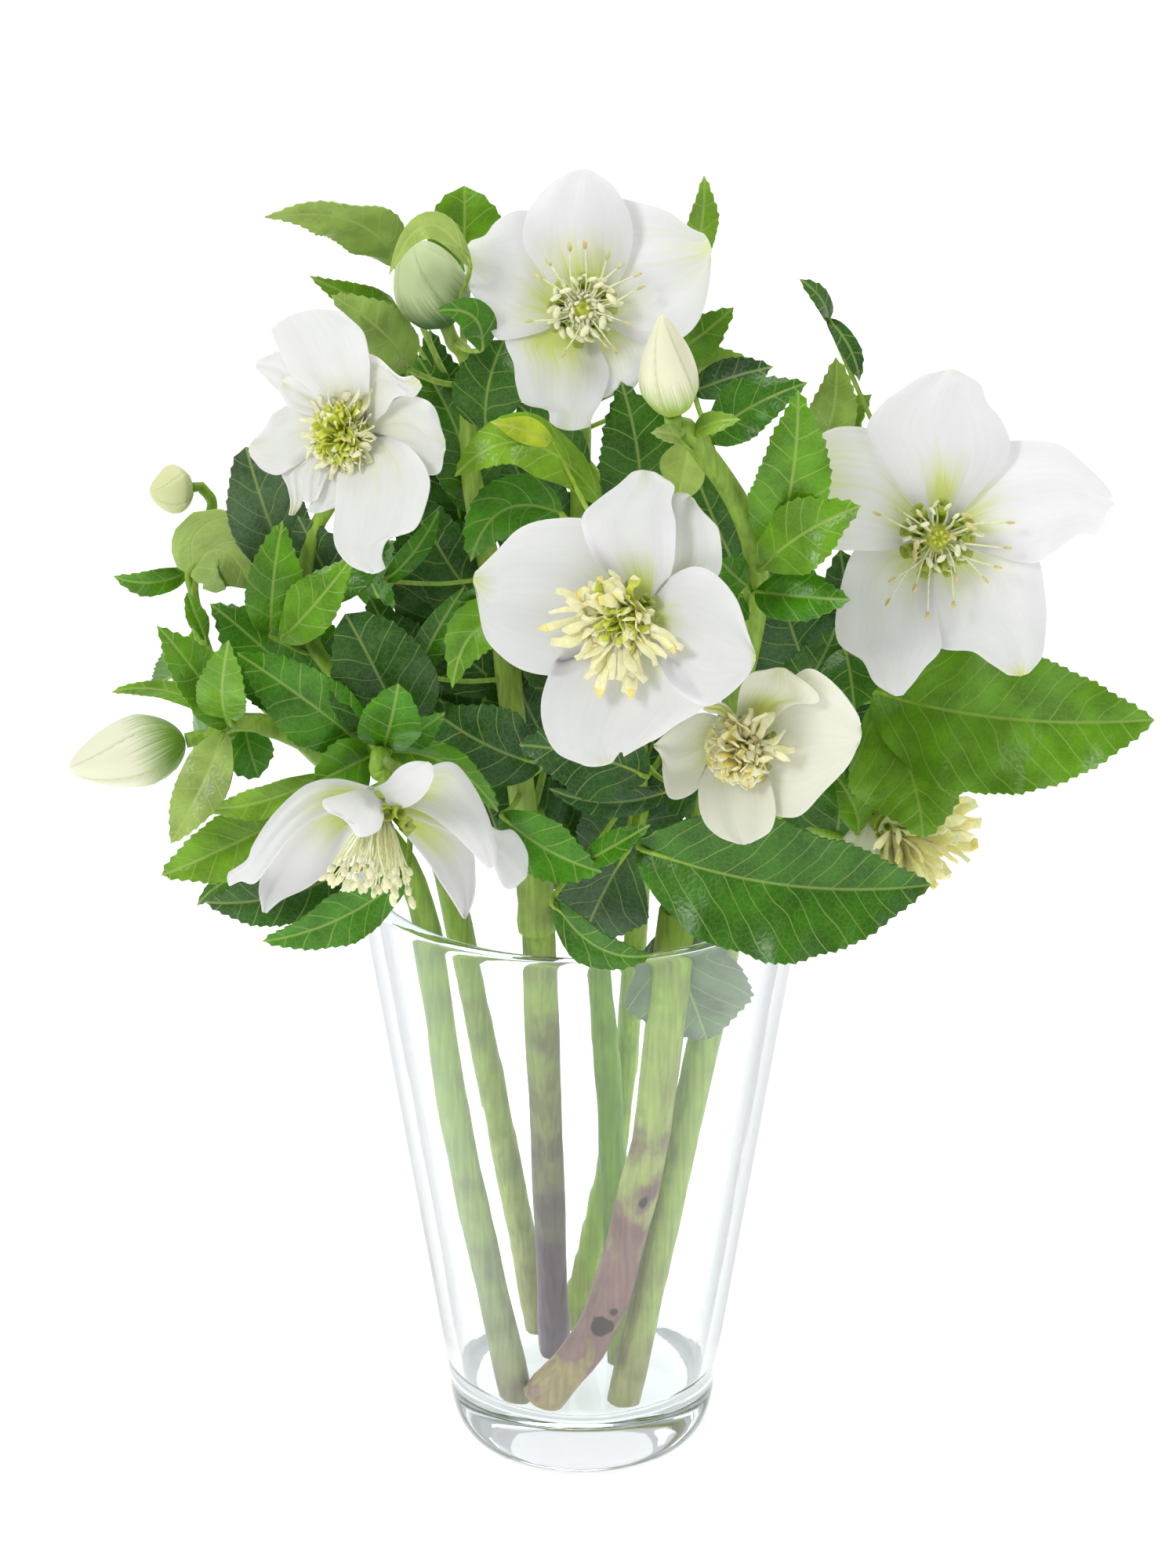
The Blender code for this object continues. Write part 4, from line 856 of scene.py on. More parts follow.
def make_sepal_skin(name, white="F8F4F8", stain="C6D548"):
    """Soft satin white, thin enough to let light through, with faint fan veins and a green-yellow root.

    growth is a point's millimetres from the middle and from the root, and how stained it is, and shade is how
    much painted lilac-grey shade it takes, where a sepal's inner face turns down away from the lamps.
    """
    material, tree = new_material(name)
    growth = add_node(tree, "Attribute", attribute_name="growth")
    painted_shade = add_node(tree, "Attribute", attribute_name="shade")
    parts = add_node(tree, "SeparateXYZ", {0: growth.outputs["Vector"]})
    fan = add_node(tree, "UVMap", uv_map="blade")
    stretch = add_node(tree, "VectorMath", {0: fan, 1: (26.0, 1.6, 1.0)}, operation="MULTIPLY")
    veins = add_node(tree, "TexNoise", {"Vector": stretch, "Scale": 1.0, "Detail": 3.0})
    cloud = add_node(tree, "TexNoise", {"Vector": growth.outputs["Vector"], "Scale": SEPAL_CLOUDS_PER_MM,
                                        "Detail": 2.0})
    stained = add_node(tree, "Math", {0: veins, 1: 0.9, 2: parts.outputs[2]}, operation="MULTIPLY_ADD")
    stain_share = add_node(tree, "MapRange", {"Value": stained, "From Min": 0.6, "From Max": 1.4,
                                              "To Max": 0.9})
    lines = add_node(tree, "MapRange", {"Value": veins, "From Min": 0.3, "From Max": 0.7, "To Min": 0.955,
                                        "To Max": 1.0})
    clouds = add_node(tree, "MapRange", {"Value": cloud, "From Min": 0.3, "From Max": 0.7, "To Min": 0.965,
                                         "To Max": 1.0})
    dim = add_node(tree, "Math", {0: lines, 1: clouds}, operation="MULTIPLY")
    pure = add_node(tree, "VectorMath", {0: hex_to_linear(white)[:3], "Scale": dim}, operation="SCALE")
    # Painted shade: the white goes lilac-grey as far as the shade attribute says.
    white_with_painted_shade = add_node(tree, "Mix", {0: painted_shade.outputs["Fac"], 6: pure, 7: "C6BEC6"}, data_type="RGBA")
    colour = add_node(tree, "Mix", {0: stain_share, 6: white_with_painted_shade.outputs[2], 7: stain}, data_type="RGBA")
    relief = add_node(tree, "Bump", {"Strength": 0.3, "Distance": 0.12 * MM, "Height": veins})
    skin = add_node(tree, "BsdfPrincipled", {"Base Color": colour.outputs[2], "Roughness": 0.48,
                                             "Normal": relief, "Specular IOR Level": 0.35,
                                             "Subsurface Weight": 0.75,
                                             "Subsurface Radius": (1.0, 0.97, 0.94),
                                             "Subsurface Scale": 3 * MM})
    add_node(tree, "OutputMaterial", {"Surface": skin})
    return material


def make_flesh(name, colour, roughness=0.45, spots=0.15):
    """Small fleshy flower parts: one colour, a little mottled, moist enough to glint."""
    material, tree = new_material(name)
    where = add_node(tree, "TexCoord")
    mottle = add_node(tree, "TexNoise", {"Vector": where.outputs["Object"], "Scale": FLESH_SPOTS_PER_MM / MM,
                                         "Detail": 2.0})
    dim = add_node(tree, "MapRange", {"Value": mottle, "From Min": 0.3, "From Max": 0.7, "To Min": 1 - spots,
                                      "To Max": 1 + spots / 2})
    tinted = add_node(tree, "VectorMath", {0: hex_to_linear(colour)[:3], "Scale": dim}, operation="SCALE")
    flesh = add_node(tree, "BsdfPrincipled", {"Base Color": tinted, "Roughness": roughness,
                                              "Subsurface Weight": 0.6, "Subsurface Radius": (1.0, 0.9, 0.6),
                                              "Subsurface Scale": 1.4 * MM})
    add_node(tree, "OutputMaterial", {"Surface": flesh})
    return material


WHITE_SEPAL = make_sepal_skin("white sepal skin")
RECEPTACLE = make_flesh("receptacle green", "A9C24C")
HEART_SKINS = [
    make_flesh("pale filament", "F2F3BE"),
    make_flesh("cream anther", "FAF6CC", 0.6, 0.12),
    make_flesh("shed ochre anther", "DCCF92", 0.7, 0.2),
    make_flesh("green nectary", "9CB828", 0.3, 0.3),
    make_flesh("yellow-green carpel", "D2DC54", 0.35, 0.2),
    make_flesh("cream-yellow petal-like stamen", "FBF5BE", 0.5, 0.1),
    make_flesh("golden edge of a petal-like stamen", "F6E48C", 0.5, 0.12),
]
FILAMENT, ANTHER, OCHRE, NECTARY, CARPEL, TONGUE, GOLD = range(len(HEART_SKINS))


def turn_of(yaw, pitch):
    """A bloom's own frame: its right, its up and its facing."""
    facing = facing_of(yaw, pitch)
    up = (Vector((0, 0, 1)) - facing * facing.z).normalized()
    return Matrix((up.cross(facing), up, facing)).transposed()


def scatter(i, step):
    """A share from 0 to 1 that jumps about as i counts up, and covers the range evenly."""
    return (i * step) % 1.0


def sample(path, share):
    """The place at a share of the way along a path."""
    at = share * (len(path) - 1)
    whole = min(int(at), len(path) - 2)
    return path[whole].lerp(path[whole + 1], at - whole)


class Corolla:
    """The sepals of one bloom, each an outline in the picture laid on the bloom's own face."""

    def __init__(self, name, bloom):
        self.name = name
        self.centre = bloom[0]
        self.facing = facing_of(*bloom[1:])
        self.turn = turn_of(*bloom[1:])
        self.sepals = bmesh.new()
        self.sepals.loops.layers.uv.new("blade")
        self.growth = self.sepals.verts.layers.float_vector.new("growth")
        self.shade = self.sepals.verts.layers.float.new("shade")
        self.count = 0

    def sepal(self, left, right, rise=10, toward=None, cup=0.2, arch=0.06, ruffle=0.4, layer=0.0, tilt=0.0,
              blotch=1.0, reach=14, spread=1.0, stain=0.0, stain_from=0.55, shade=0.0, notch=None):
        """A sepal between two edges, each the pixels from its root to its end.

        It lies in a plane through the bloom's middle that rises from its face by rise degrees, or whose
        tip stands toward millimetres in front. cup lifts its edges and arch its middle, layer and tilt
        lay it over or under its neighbours, and reach is how far its root's blotch goes, in millimetres, and
        spread how far across. A notch is given by its place across the end.
        """
        self.count += 1
        phase = self.count * 2.1 + len(self.name)
        left = smooth_path([Vector(pixel) for pixel in left], 8)
        right = smooth_path([Vector(pixel) for pixel in right], 8)
        tip = (left[-1] + right[-1]) / 2
        root = (left[0] + right[0]) / 2
        if toward is None:
            outward = (on_plane(*tip, self.centre, self.facing) - self.centre).normalized()
            rise = math.radians(rise)
            normal = self.facing * math.cos(rise) - outward * math.sin(rise)
        else:
            outward = (seen(*tip, toward) - self.centre).normalized()
            normal = (TO_VIEWER - outward * TO_VIEWER.dot(outward)).normalized()
        length = (tip - root).length / PIXELS_PER_MM
        crown = (tip - root).normalized() * (right[-1] - left[-1]).length * 0.14
        grid = bmesh.ops.create_grid(self.sepals, x_segments=SEPAL_COLUMNS, y_segments=SEPAL_ROWS, size=0.5,
                                     calc_uvs=True)
        for vert in grid["verts"]:
            s = vert.co.y + 0.5
            c = vert.co.x * 2
            if notch is not None:
                s -= 0.1 * math.exp(-((c - notch) / 0.12) ** 2) * s ** 12
            a = sample(left, s)
            b = sample(right, s)
            half = (b - a).length / 2
            pixel = a.lerp(b, (c + 1) / 2) + crown * (1 - c * c) * s ** 6
            pixel += (b - a) * 0.012 * ruffle * c * abs(c) * math.sin(s * 19 + phase + c)
            half /= PIXELS_PER_MM
            lift = layer + tilt * c + arch * length * math.sin(math.pi * s) * (1 - 0.4 * c * c)
            lift += cup * half * c * c * math.sin(math.pi * min(1, 0.12 + s * 0.75))
            lift += ruffle * half * 0.15 * c * c * math.sin(s * 9 + phase + (1.8 if c > 0 else 0))
            lift += ruffle * 0.9 * s ** 4 * math.sin(c * 5 + phase)
            lift += 0.32 * math.cos(c * 8 + phase) * math.sin(math.pi * s)
            vert.co = on_plane(*pixel, self.centre, normal) + TO_VIEWER * lift * min(1, s * 5) * MM
            along = s * length
            beside = max(0, 1 - (c / spread) ** 2 * 0.9)
            root_stain = 1.15 * blotch * math.exp(-((along / reach) ** 2)) * beside
            end_stain = stain * max(0, (s - stain_from) / (1 - stain_from)) * (1 - 0.5 * abs(c))
            vert[self.growth] = (c * half, along, max(root_stain, end_stain))
            # shade paints lilac-grey shade on the sepal, less of it toward its edges.
            vert[self.shade] = shade * (1 - 0.4 * abs(c))
        bmesh.ops.remove_doubles(self.sepals, verts=grid["verts"], dist=MERGE_DISTANCE)

    def finish(self, skin):
        """Makes the sepals and their receptacle two pieces that stand for the bloom's sepals."""
        finish_thin_piece(self.name + "_petals", self.sepals, [skin], SEPAL_THICKNESS, "sepal_white",
                          self.name + "_sepals")
        seat = bmesh.new()
        bmesh.ops.create_cone(seat, cap_ends=True, segments=28, radius1=RECEPTACLE_RADIUS * 0.8,
                              radius2=RECEPTACLE_RADIUS, depth=RECEPTACLE_HEIGHT,
                              matrix=Matrix.Translation(self.centre) @ self.turn.to_4x4())
        bmesh.ops.bevel(seat, geom=seat.edges, offset=0.3 * MM, offset_type="OFFSET", segments=2,
                        profile=0.5, affect="EDGES", material=-1)
        finish_piece(self.name + "_receptacle", seat, [RECEPTACLE], "sepal_white", self.name + "_sepals")


class Heart:
    """The centre of one bloom: a dome, nectaries, carpels, stamens and petal-like tongues."""

    def __init__(self, name, bloom, lean=(0, 0), sag=0.5, ochre=0.0, core=CARPEL, dome=4.2):
        self.name = name
        self.turn = turn_of(*bloom[1:])
        self.facing = self.turn @ Vector((0, 0, 1))
        base = bloom[0] + self.facing * (RECEPTACLE_HEIGHT / 2 + GAP)
        self.dome = dome * MM
        self.seat = base + self.facing * self.dome * DOME_FLAT
        self.lean = lean
        self.sag = sag
        self.ochre = ochre
        self.parts = bmesh.new()
        seated = Matrix.Translation(self.seat) @ self.turn.to_4x4()
        bmesh.ops.create_uvsphere(self.parts, u_segments=24, v_segments=12, radius=self.dome,
                                  matrix=seated @ Matrix.Diagonal((1, 1, DOME_FLAT, 1)))
        for face in self.parts.faces:
            face.material_index = core
        self.count = 0

    def way(self, around, spread, lean=True):
        """A direction spread degrees off the facing, around radians about it, leaning as the heart does."""
        spread = math.radians(spread)
        x, y = self.lean if lean else (0, 0)
        return (self.turn @ Vector((math.sin(spread) * math.cos(around) + x,
                                    math.sin(spread) * math.sin(around) + y, math.cos(spread)))).normalized()

    def anther(self, at, way, size, material):
        """A two-lobed pollen sac, longer than it is wide, across the end of a filament."""
        lobe = way.to_track_quat("Z", "Y").to_matrix().to_4x4()
        shape = Matrix.Diagonal((0.52 * size * MM, 0.36 * size * MM, 0.95 * size * MM, 1))
        made = bmesh.ops.create_uvsphere(self.parts, u_segments=6, v_segments=4, radius=1,
                                         matrix=Matrix.Translation(at) @ lobe @ shape)
        for face in {face for vert in made["verts"] for face in vert.link_faces}:
            face.material_index = material

    def filament(self, root, end, bow, size, material, radius=0.28, tumble=0.0):
        """A filament from root to end that bows toward the facing and sways, with its anther."""
        self.count += 1
        side = (end - root).cross(self.facing).normalized()
        sway = 0.07 * (end - root).length * math.sin(self.count * 1.7)
        steps = range(FILAMENT_STEPS + 1)
        path = [root.lerp(end, k / FILAMENT_STEPS)
                + self.facing * bow * math.sin(math.pi * k / FILAMENT_STEPS) * MM
                + side * sway * math.sin(math.pi * k / 4) for k in steps]
        grow_stalk(self.parts, path, [radius * MM * (1 - 0.07 * k) for k in steps], 4)
        way = (path[-1] - path[-2]).normalized() + side * tumble * math.sin(self.count * 2.3)
        self.anther(path[-1], way.normalized(), size, material)

    def crowd(self, count, length, inner, spread, least, vary, turn, root_angle, crowding):
        """The root and end of each of count stamens, from inner to spread degrees off the facing.

        Each is least to least + vary times as long as length, and roots lie root_angle off the facing at
        most, more of them there the smaller crowding is.
        """
        for i in range(count):
            share = math.sqrt((i + 0.5) / count)
            around = i * GOLDEN_ANGLE + turn
            way = self.way(around, inner + (spread - inner) * share)
            outward = self.way(around, root_angle * share ** crowding, False)
            root = self.seat + outward * self.dome * DOME_FLAT
            reach = length * (least + vary * scatter(i, LENGTH_STEP))
            yield i, root, root + way * reach * MM - Vector((0, 0, self.sag * share * MM))

    def stamens(self, count, length, spread, size=1.0, inner=0, vary=0.35, tumble=0.6, radius=0.3):
        """Stamens with anthers, of which a share has gone ochre."""
        placed = self.crowd(count, length, inner, spread, least=1 - vary / 2, vary=vary, turn=0,
                            root_angle=80, crowding=0.5)
        for i, root, end in placed:
            material = OCHRE if scatter(i, SHED_STEP) < self.ochre else ANTHER
            self.filament(root, end, 0.4, size * (0.85 + 0.3 * scatter(i, SIZE_STEP)), material, radius,
                          tumble)

    def loose(self, pixels, stand=6, size=1.5, material=OCHRE):
        """Long stamens that stand away from the rest, each with its anther at a pixel."""
        for u, v in pixels:
            end = on_plane(u, v, self.seat + self.facing * stand * MM, self.facing)
            self.filament(self.seat, end, 2.5, size, material, 0.36)

    def nectaries(self, count, length=5, width=2.6, spread=58):
        """A ring of horn-shaped cups that start round the seat, each open at its wide end."""
        for k in range(count):
            around = 2 * math.pi * k / count + 0.15 * math.sin(k * 2.6)
            way = self.way(around, spread + 14 * math.sin(k * 1.9), False)
            across = self.way(around, 90, False)
            reach = length * (0.9 + 0.2 * math.sin(k * 2.7))
            middle = self.seat + across * self.dome * 0.85 + (way * reach / 2 - self.facing * 0.5) * MM
            cup = Matrix.Translation(middle) @ way.to_track_quat("Z", "Y").to_matrix().to_4x4()
            made = bmesh.ops.create_cone(self.parts, cap_ends=True, segments=NECTARY_SIDES,
                                         radius1=width * 0.2 * MM, radius2=width * 0.5 * MM,
                                         depth=reach * MM, matrix=cup)
            faces = {face for vert in made["verts"] for face in vert.link_faces}
            ends = [face for face in faces if len(face.verts) == NECTARY_SIDES]
            mouth = max(ends, key=lambda face: (face.calc_center_median() - middle).dot(way))
            rim = bmesh.ops.inset_individual(self.parts, faces=[mouth], thickness=0.28 * MM,
                                             depth=0.0)["faces"]
            bmesh.ops.translate(self.parts, verts=mouth.verts, vec=way * -0.45 * reach * MM)
            for face in faces | set(rim):
                face.material_index = NECTARY

    def carpels(self, count, length=8):
        """Plump carpels in a ring round the facing, each drawn out to a thin style."""
        for k in range(count):
            way = self.way(k * 2 * math.pi / count + 0.3, 16)
            foot = self.seat + way * self.dome * DOME_FLAT
            path = [foot + way * length * step * MM for step in (-0.12, 0.12, 0.4, 0.62, 0.8, 1)]
            grow_stalk(self.parts, path, [r * MM for r in (1.1, 1.4, 1.2, 0.6, 0.32, 0.24)], 8, CARPEL)

    def tongue(self, root, end, bow, width, base_index, tip_index):
        """A petal-like stamen: a flattened tongue that widens, buckles and ends square."""
        self.count += 1
        side = (end - root).cross(self.facing).normalized()
        path = []
        for k in range(TONGUE_STEPS + 1):
            sway = 1.3 * math.sin(k * 0.8 + self.count * 1.7) * k / TONGUE_STEPS
            rise = bow * math.sin(math.pi * k / TONGUE_STEPS) + 0.55 * math.sin(k * 1.1 + self.count * 2.9)
            path.append(root.lerp(end, k / TONGUE_STEPS) + (side * sway + self.facing * rise) * MM)
        flare = 0.25 * math.sin(self.count * 2.1)
        shape = (0.3, 0.36, 0.55, 0.8, 0.75, 0.9 + flare, 1.08, 0.85 - flare, 0.5 + flare)
        thin = self.facing + side * 0.6 * math.sin(self.count * 1.3)
        closed = grow_stalk(self.parts, path, [width / 2 * w * MM for w in shape], 8, base_index, 0.17, thin)
        for face in {face for vert in closed.verts for face in vert.link_faces}:
            face.material_index = tip_index

    def tongues(self, count, length, width, inner=25, spread=75, colours=((TONGUE, TONGUE),)):
        """Petal-like stamens all round, each in the next of the colours of base and tip."""
        placed = self.crowd(count, length, inner, spread, least=0.6, vary=0.7, turn=1,
                            root_angle=70, crowding=1)
        for i, root, end in placed:
            self.tongue(root, end, 0.8, width * (0.7 + 0.6 * scatter(i, SIZE_STEP)),
                        *colours[i % len(colours)])

    def long_tongues(self, pixels, stand, width, base_index=TONGUE, tip_index=GOLD):
        """Petal-like stamens that reach to the given pixels."""
        for i, (u, v) in enumerate(pixels):
            end = on_plane(u, v, self.seat + self.facing * stand * MM, self.facing)
            root = self.seat + (end - self.seat).normalized() * 2 * MM
            self.tongue(root, end, 2, width * (0.8 + 0.4 * scatter(i, LENGTH_STEP)), base_index,
                        base_index if i % 3 else tip_index)

    def finish(self):
        """Makes the heart a piece that stands for the bloom's stamens."""
        bmesh.ops.recalc_face_normals(self.parts, faces=self.parts.faces)
        finish_piece(self.name + "_heart", self.parts, HEART_SKINS, "stamen_cream", self.name + "_stamens")


bloom = Corolla("top_bloom", TOP)
bloom.sepal(
    [(730, 390), (692, 350), (668, 310), (670, 281), (682, 256), (702, 235), (725, 221)],
    [(758, 390), (795, 350), (807, 308), (804, 278), (794, 255), (780, 236), (762, 222)],
    rise=9, layer=1.2, cup=-0.05, ruffle=0.1, arch=0.05)
bloom.sepal(
    [(745, 390), (752, 345), (757, 290), (775, 254), (818, 257), (850, 268), (880, 289), (898, 297)],
    [(758, 402), (792, 425), (835, 442), (871, 432), (893, 405), (904, 370), (906, 335)],
    rise=9, layer=-2.2, tilt=2, cup=0.02, arch=0.03, ruffle=0.4, stain=0.72, stain_from=0.3)
bloom.sepal(
    [(752, 394), (806, 415), (832, 440), (826, 470), (812, 489)],
    [(735, 405), (733, 445), (742, 480), (762, 506), (788, 499)],
    rise=9, layer=-3.4, cup=0.02, ruffle=0.4)
bloom.sepal(
    [(728, 400), (684, 415), (645, 432), (655, 465), (659, 491), (667, 514), (698, 522), (701, 540)],
    [(752, 404), (764, 440), (776, 472), (770, 506), (757, 528), (753, 543)],
    rise=9, layer=-1.4, cup=0.05, ruffle=0.5, stain=0.4, stain_from=0.2, blotch=1.2, reach=16)
bloom.sepal(
    [(728, 402), (690, 424), (648, 434), (629, 427), (617, 398), (599, 368), (593, 342)],
    [(738, 392), (712, 350), (702, 300), (697, 272), (660, 268), (633, 282), (619, 299), (601, 306)],
    rise=9, layer=-1.4, tilt=-2, cup=0.02, arch=0.03, ruffle=0.4, stain=0.6, stain_from=0.4)
bloom.finish(WHITE_SEPAL)
heart = Heart("top_bloom", TOP, dome=4.6)
heart.nectaries(14, 6.6, 3.2, spread=62)
heart.stamens(60, 2.4, 60, size=1.3, tumble=1.5)
heart.stamens(26, 6.2, 66, size=2.2, inner=40, tumble=1.8)
heart.loose(((699, 335), (723, 316), (748, 312), (778, 327), (790, 337), (812, 348), (819, 370), (688, 352),
             (676, 413), (800, 412), (770, 442), (784, 446), (722, 452)))
heart.finish()

# Upper left bloom
# Half double: narrower, twisted sepals with beige edges round a mass of small yellow-green ones.
bloom = Corolla("upper_left_bloom", UPPER_LEFT)
bloom.sepal(
    [(430, 540), (395, 498), (372, 478), (357, 448), (346, 421)],
    [(466, 540), (472, 500), (472, 466), (470, 444), (460, 420), (438, 399)],
    rise=18, layer=3, ruffle=0.4, cup=0.2, blotch=0.5)
bloom.sepal(
    [(455, 530), (455, 484), (456, 453), (480, 456), (508, 480), (526, 480)],
    [(470, 545), (490, 528), (500, 513), (515, 505), (528, 507), (538, 493)],
    rise=12, layer=1.2, ruffle=0.7, stain=0.8, stain_from=0.7, blotch=0.5)
bloom.sepal(
    [(455, 545), (492, 518), (520, 505), (545, 513), (556, 523), (562, 550)],
    [(455, 565), (505, 570), (528, 582), (546, 606), (561, 602), (566, 578)],
    rise=2, ruffle=0.8, stain=0.5, stain_from=0.6, blotch=0.5)
bloom.sepal(
    [(442, 560), (432, 610), (428, 655), (429, 698), (447, 721), (470, 731)],
    [(480, 552), (524, 572), (548, 608), (543, 645), (530, 676), (497, 688), (488, 708), (492, 725)],
    rise=14, layer=2.5, ruffle=0.5, cup=0.25, blotch=0.5)
bloom.sepal(
    [(450, 545), (395, 526), (370, 518), (350, 528), (340, 543), (322, 563)],
    [(450, 570), (400, 580), (375, 597), (355, 606), (335, 600), (319, 580)],
    rise=10, layer=0.8, ruffle=0.7, stain=0.4, stain_from=0.3, blotch=0.5)
bloom.sepal(
    [(445, 530), (385, 484), (360, 449), (345, 452), (332, 458)],
    [(445, 545), (385, 516), (358, 501), (338, 483), (326, 470)],
    rise=8, ruffle=0.5, blotch=0)
bloom.sepal(
    [(448, 530), (400, 497), (382, 482), (366, 482)],
    [(448, 550), (395, 530), (372, 522), (357, 499)],
    rise=14, layer=1.8, ruffle=0.9, stain=0.6, stain_from=0.6, blotch=0.5)
bloom.sepal(
    [(445, 560), (385, 583), (360, 600), (367, 622), (371, 642), (369, 657)],
    [(450, 575), (410, 590), (392, 612), (386, 640), (375, 656)],
    rise=12, layer=0, ruffle=0.8, stain=0.9, stain_from=0.5, blotch=0.4)
bloom.sepal(
    [(445, 562), (402, 578), (387, 606), (386, 632), (390, 641)],
    [(452, 572), (428, 590), (416, 612), (406, 637)],
    rise=20, layer=2, ruffle=0.6, blotch=0.4)
bloom.sepal(
    [(448, 565), (418, 596), (402, 632), (392, 653)],
    [(458, 575), (444, 602), (441, 632), (428, 646)],
    rise=16, layer=1, ruffle=0.9, blotch=0.4)
bloom.finish(make_sepal_skin("beige-edged sepal skin", "F3F1EE", "D6D074"))
heart = Heart("upper_left_bloom", UPPER_LEFT, sag=1.0, ochre=0.15)
frill = ((CARPEL, TONGUE), (CARPEL, CARPEL), (CARPEL, GOLD),
         (CARPEL, TONGUE))
heart.nectaries(12, 4.5, 2.4, spread=60)
heart.tongues(100, 7.5, 2.0, inner=3, spread=84, colours=frill)
heart.stamens(40, 7.0, 80, size=0.8, inner=30)
heart.tongues(26, 11, 2.0, inner=62, spread=90, colours=((TONGUE, TONGUE), (FILAMENT, FILAMENT)))
heart.finish()

# Centre bloom
# The largest open face, with a notched lower sepal and streaked tips, and a mane of cream and golden
# petal-like stamens that falls to the left and down.
bloom = Corolla("centre_bloom", CENTRE)
bloom.sepal(
    [(820, 765), (792, 722), (772, 688), (748, 664), (700, 663), (662, 676), (634, 702), (606, 730)],
    [(815, 790), (780, 835), (742, 860), (702, 863), (668, 855), (638, 836), (617, 808), (607, 750)],
    rise=12, layer=-0.6, ruffle=0.3, stain=0.85, stain_from=0.75)
bloom.sepal(
    [(812, 770), (778, 735), (752, 700), (741, 664), (765, 636), (790, 617), (806, 603)],
    [(832, 772), (854, 735), (862, 698), (860, 665), (857, 640), (859, 620), (842, 607)],
    rise=14, layer=0.9, ruffle=0.8, cup=0.1, blotch=1.2, reach=10, spread=0.7, stain=0.35, stain_from=0.3)
bloom.sepal(
    [(822, 768), (850, 720), (852, 680), (850, 650), (860, 631), (875, 629)],
    [(832, 772), (882, 750), (914, 736), (921, 702), (915, 674), (899, 656), (888, 643)],
    rise=6, layer=-1.6, ruffle=1.2, blotch=0.6, stain=0.5, stain_from=0.5)
bloom.sepal(
    [(828, 772), (850, 740), (881, 724), (912, 733), (938, 764), (953, 805), (962, 832)],
    [(828, 785), (842, 845), (862, 880), (895, 901), (925, 890), (952, 865), (962, 845)],
    rise=12, layer=1.4, cup=0.12, ruffle=0.3, blotch=1.1, reach=9, spread=0.6, stain=0.95, stain_from=0.82)
bloom.sepal(
    [(800, 780), (748, 815), (710, 843), (692, 885), (694, 930), (710, 960), (745, 976)],
    [(835, 785), (872, 845), (892, 882), (896, 903), (864, 924), (838, 942), (812, 954)],
    rise=10, layer=0.2, ruffle=0.4, notch=0.35, stain=0.45, stain_from=0.8, blotch=0.8)
bloom.finish(WHITE_SEPAL)
heart = Heart("centre_bloom", CENTRE, lean=(-0.45, -0.35), sag=1.5, ochre=0.3, dome=5)
mane = ((TONGUE, TONGUE), (CARPEL, TONGUE), (TONGUE, GOLD))
heart.nectaries(14, 5.5, 2.6, spread=66)
heart.tongues(60, 6.5, 1.7, inner=2, spread=60, colours=((CARPEL, CARPEL),))
heart.tongues(64, 10, 3.2, inner=30, spread=76, colours=mane)
heart.long_tongues(
    ((686, 797), (704, 822), (708, 757), (738, 753), (732, 838), (752, 868), (765, 892), (782, 850),
     (797, 884), (811, 890), (822, 870), (847, 842), (862, 832), (873, 822)),
    stand=7, width=3.6)
heart.long_tongues(
    ((700, 778), (716, 800), (748, 842), (757, 855), (806, 858), (835, 850), (722, 770), (742, 815),
     (775, 865), (790, 868)),
    stand=9, width=3.0, tip_index=TONGUE)
heart.finish()

# Cream bloom
# A younger cup, cream all over, that faces down to the left and is full of golden cream stamens.
bloom = Corolla("cream_bloom", CREAM)
bloom.sepal(
    [(940, 935), (941, 892), (948, 870), (960, 858), (985, 853)],
    [(970, 935), (1008, 900), (1040, 897), (1043, 887), (1028, 871), (1008, 857)],
    rise=26, layer=1.0, ruffle=0.2, stain=0.55, stain_from=0.05, reach=9)
bloom.sepal(
    [(965, 930), (990, 890), (1015, 861), (1037, 854), (1070, 880), (1094, 912), (1098, 932)],
    [(955, 960), (972, 1008), (984, 1038), (1017, 1041), (1048, 1012), (1080, 978), (1094, 950)],
    rise=20, layer=-1.0, ruffle=0.3, cup=0.2, blotch=0.7, reach=8)
bloom.sepal(
    [(935, 940), (897, 985), (890, 1020), (899, 1050), (917, 1067), (940, 1075)],
    [(965, 955), (984, 1003), (988, 1040), (980, 1062), (958, 1074)],
    rise=14, layer=1.6, ruffle=0.3, cup=0.25, blotch=0.7, reach=8)
bloom.sepal(
    [(945, 928), (900, 909), (870, 920), (848, 937), (834, 950)],
    [(940, 950), (902, 972), (892, 1003), (868, 1019), (852, 1016), (846, 990), (845, 968), (835, 953)],
    rise=16, layer=0.6, ruffle=0.4, cup=0.2, stain=0.7, stain_from=0.85, blotch=0.9, reach=9)
bloom.sepal(
    [(945, 925), (925, 899), (905, 896), (893, 894)],
    [(940, 928), (918, 912), (902, 908), (889, 900)],
    rise=36, layer=2, ruffle=0.8)
bloom.finish(make_sepal_skin("cream sepal skin", "EFEBD2", "BECB4A"))
heart = Heart("cream_bloom", CREAM, lean=(-0.3, -0.05), sag=1.0, ochre=0.1, core=TONGUE, dome=6)
gold = ((TONGUE, TONGUE), (GOLD, TONGUE), (TONGUE, GOLD))
heart.nectaries(12, 5, 2.2)
heart.tongues(80, 7, 3.2, inner=3, spread=78, colours=gold)
heart.long_tongues(
    ((908, 925), (905, 948), (912, 972), (922, 990), (938, 997), (955, 990), (970, 985), (985, 972),
     (1008, 967), (1012, 952), (1004, 934), (990, 912), (975, 906), (955, 903), (935, 908)),
    stand=7, width=2.8, tip_index=TONGUE)
heart.finish()

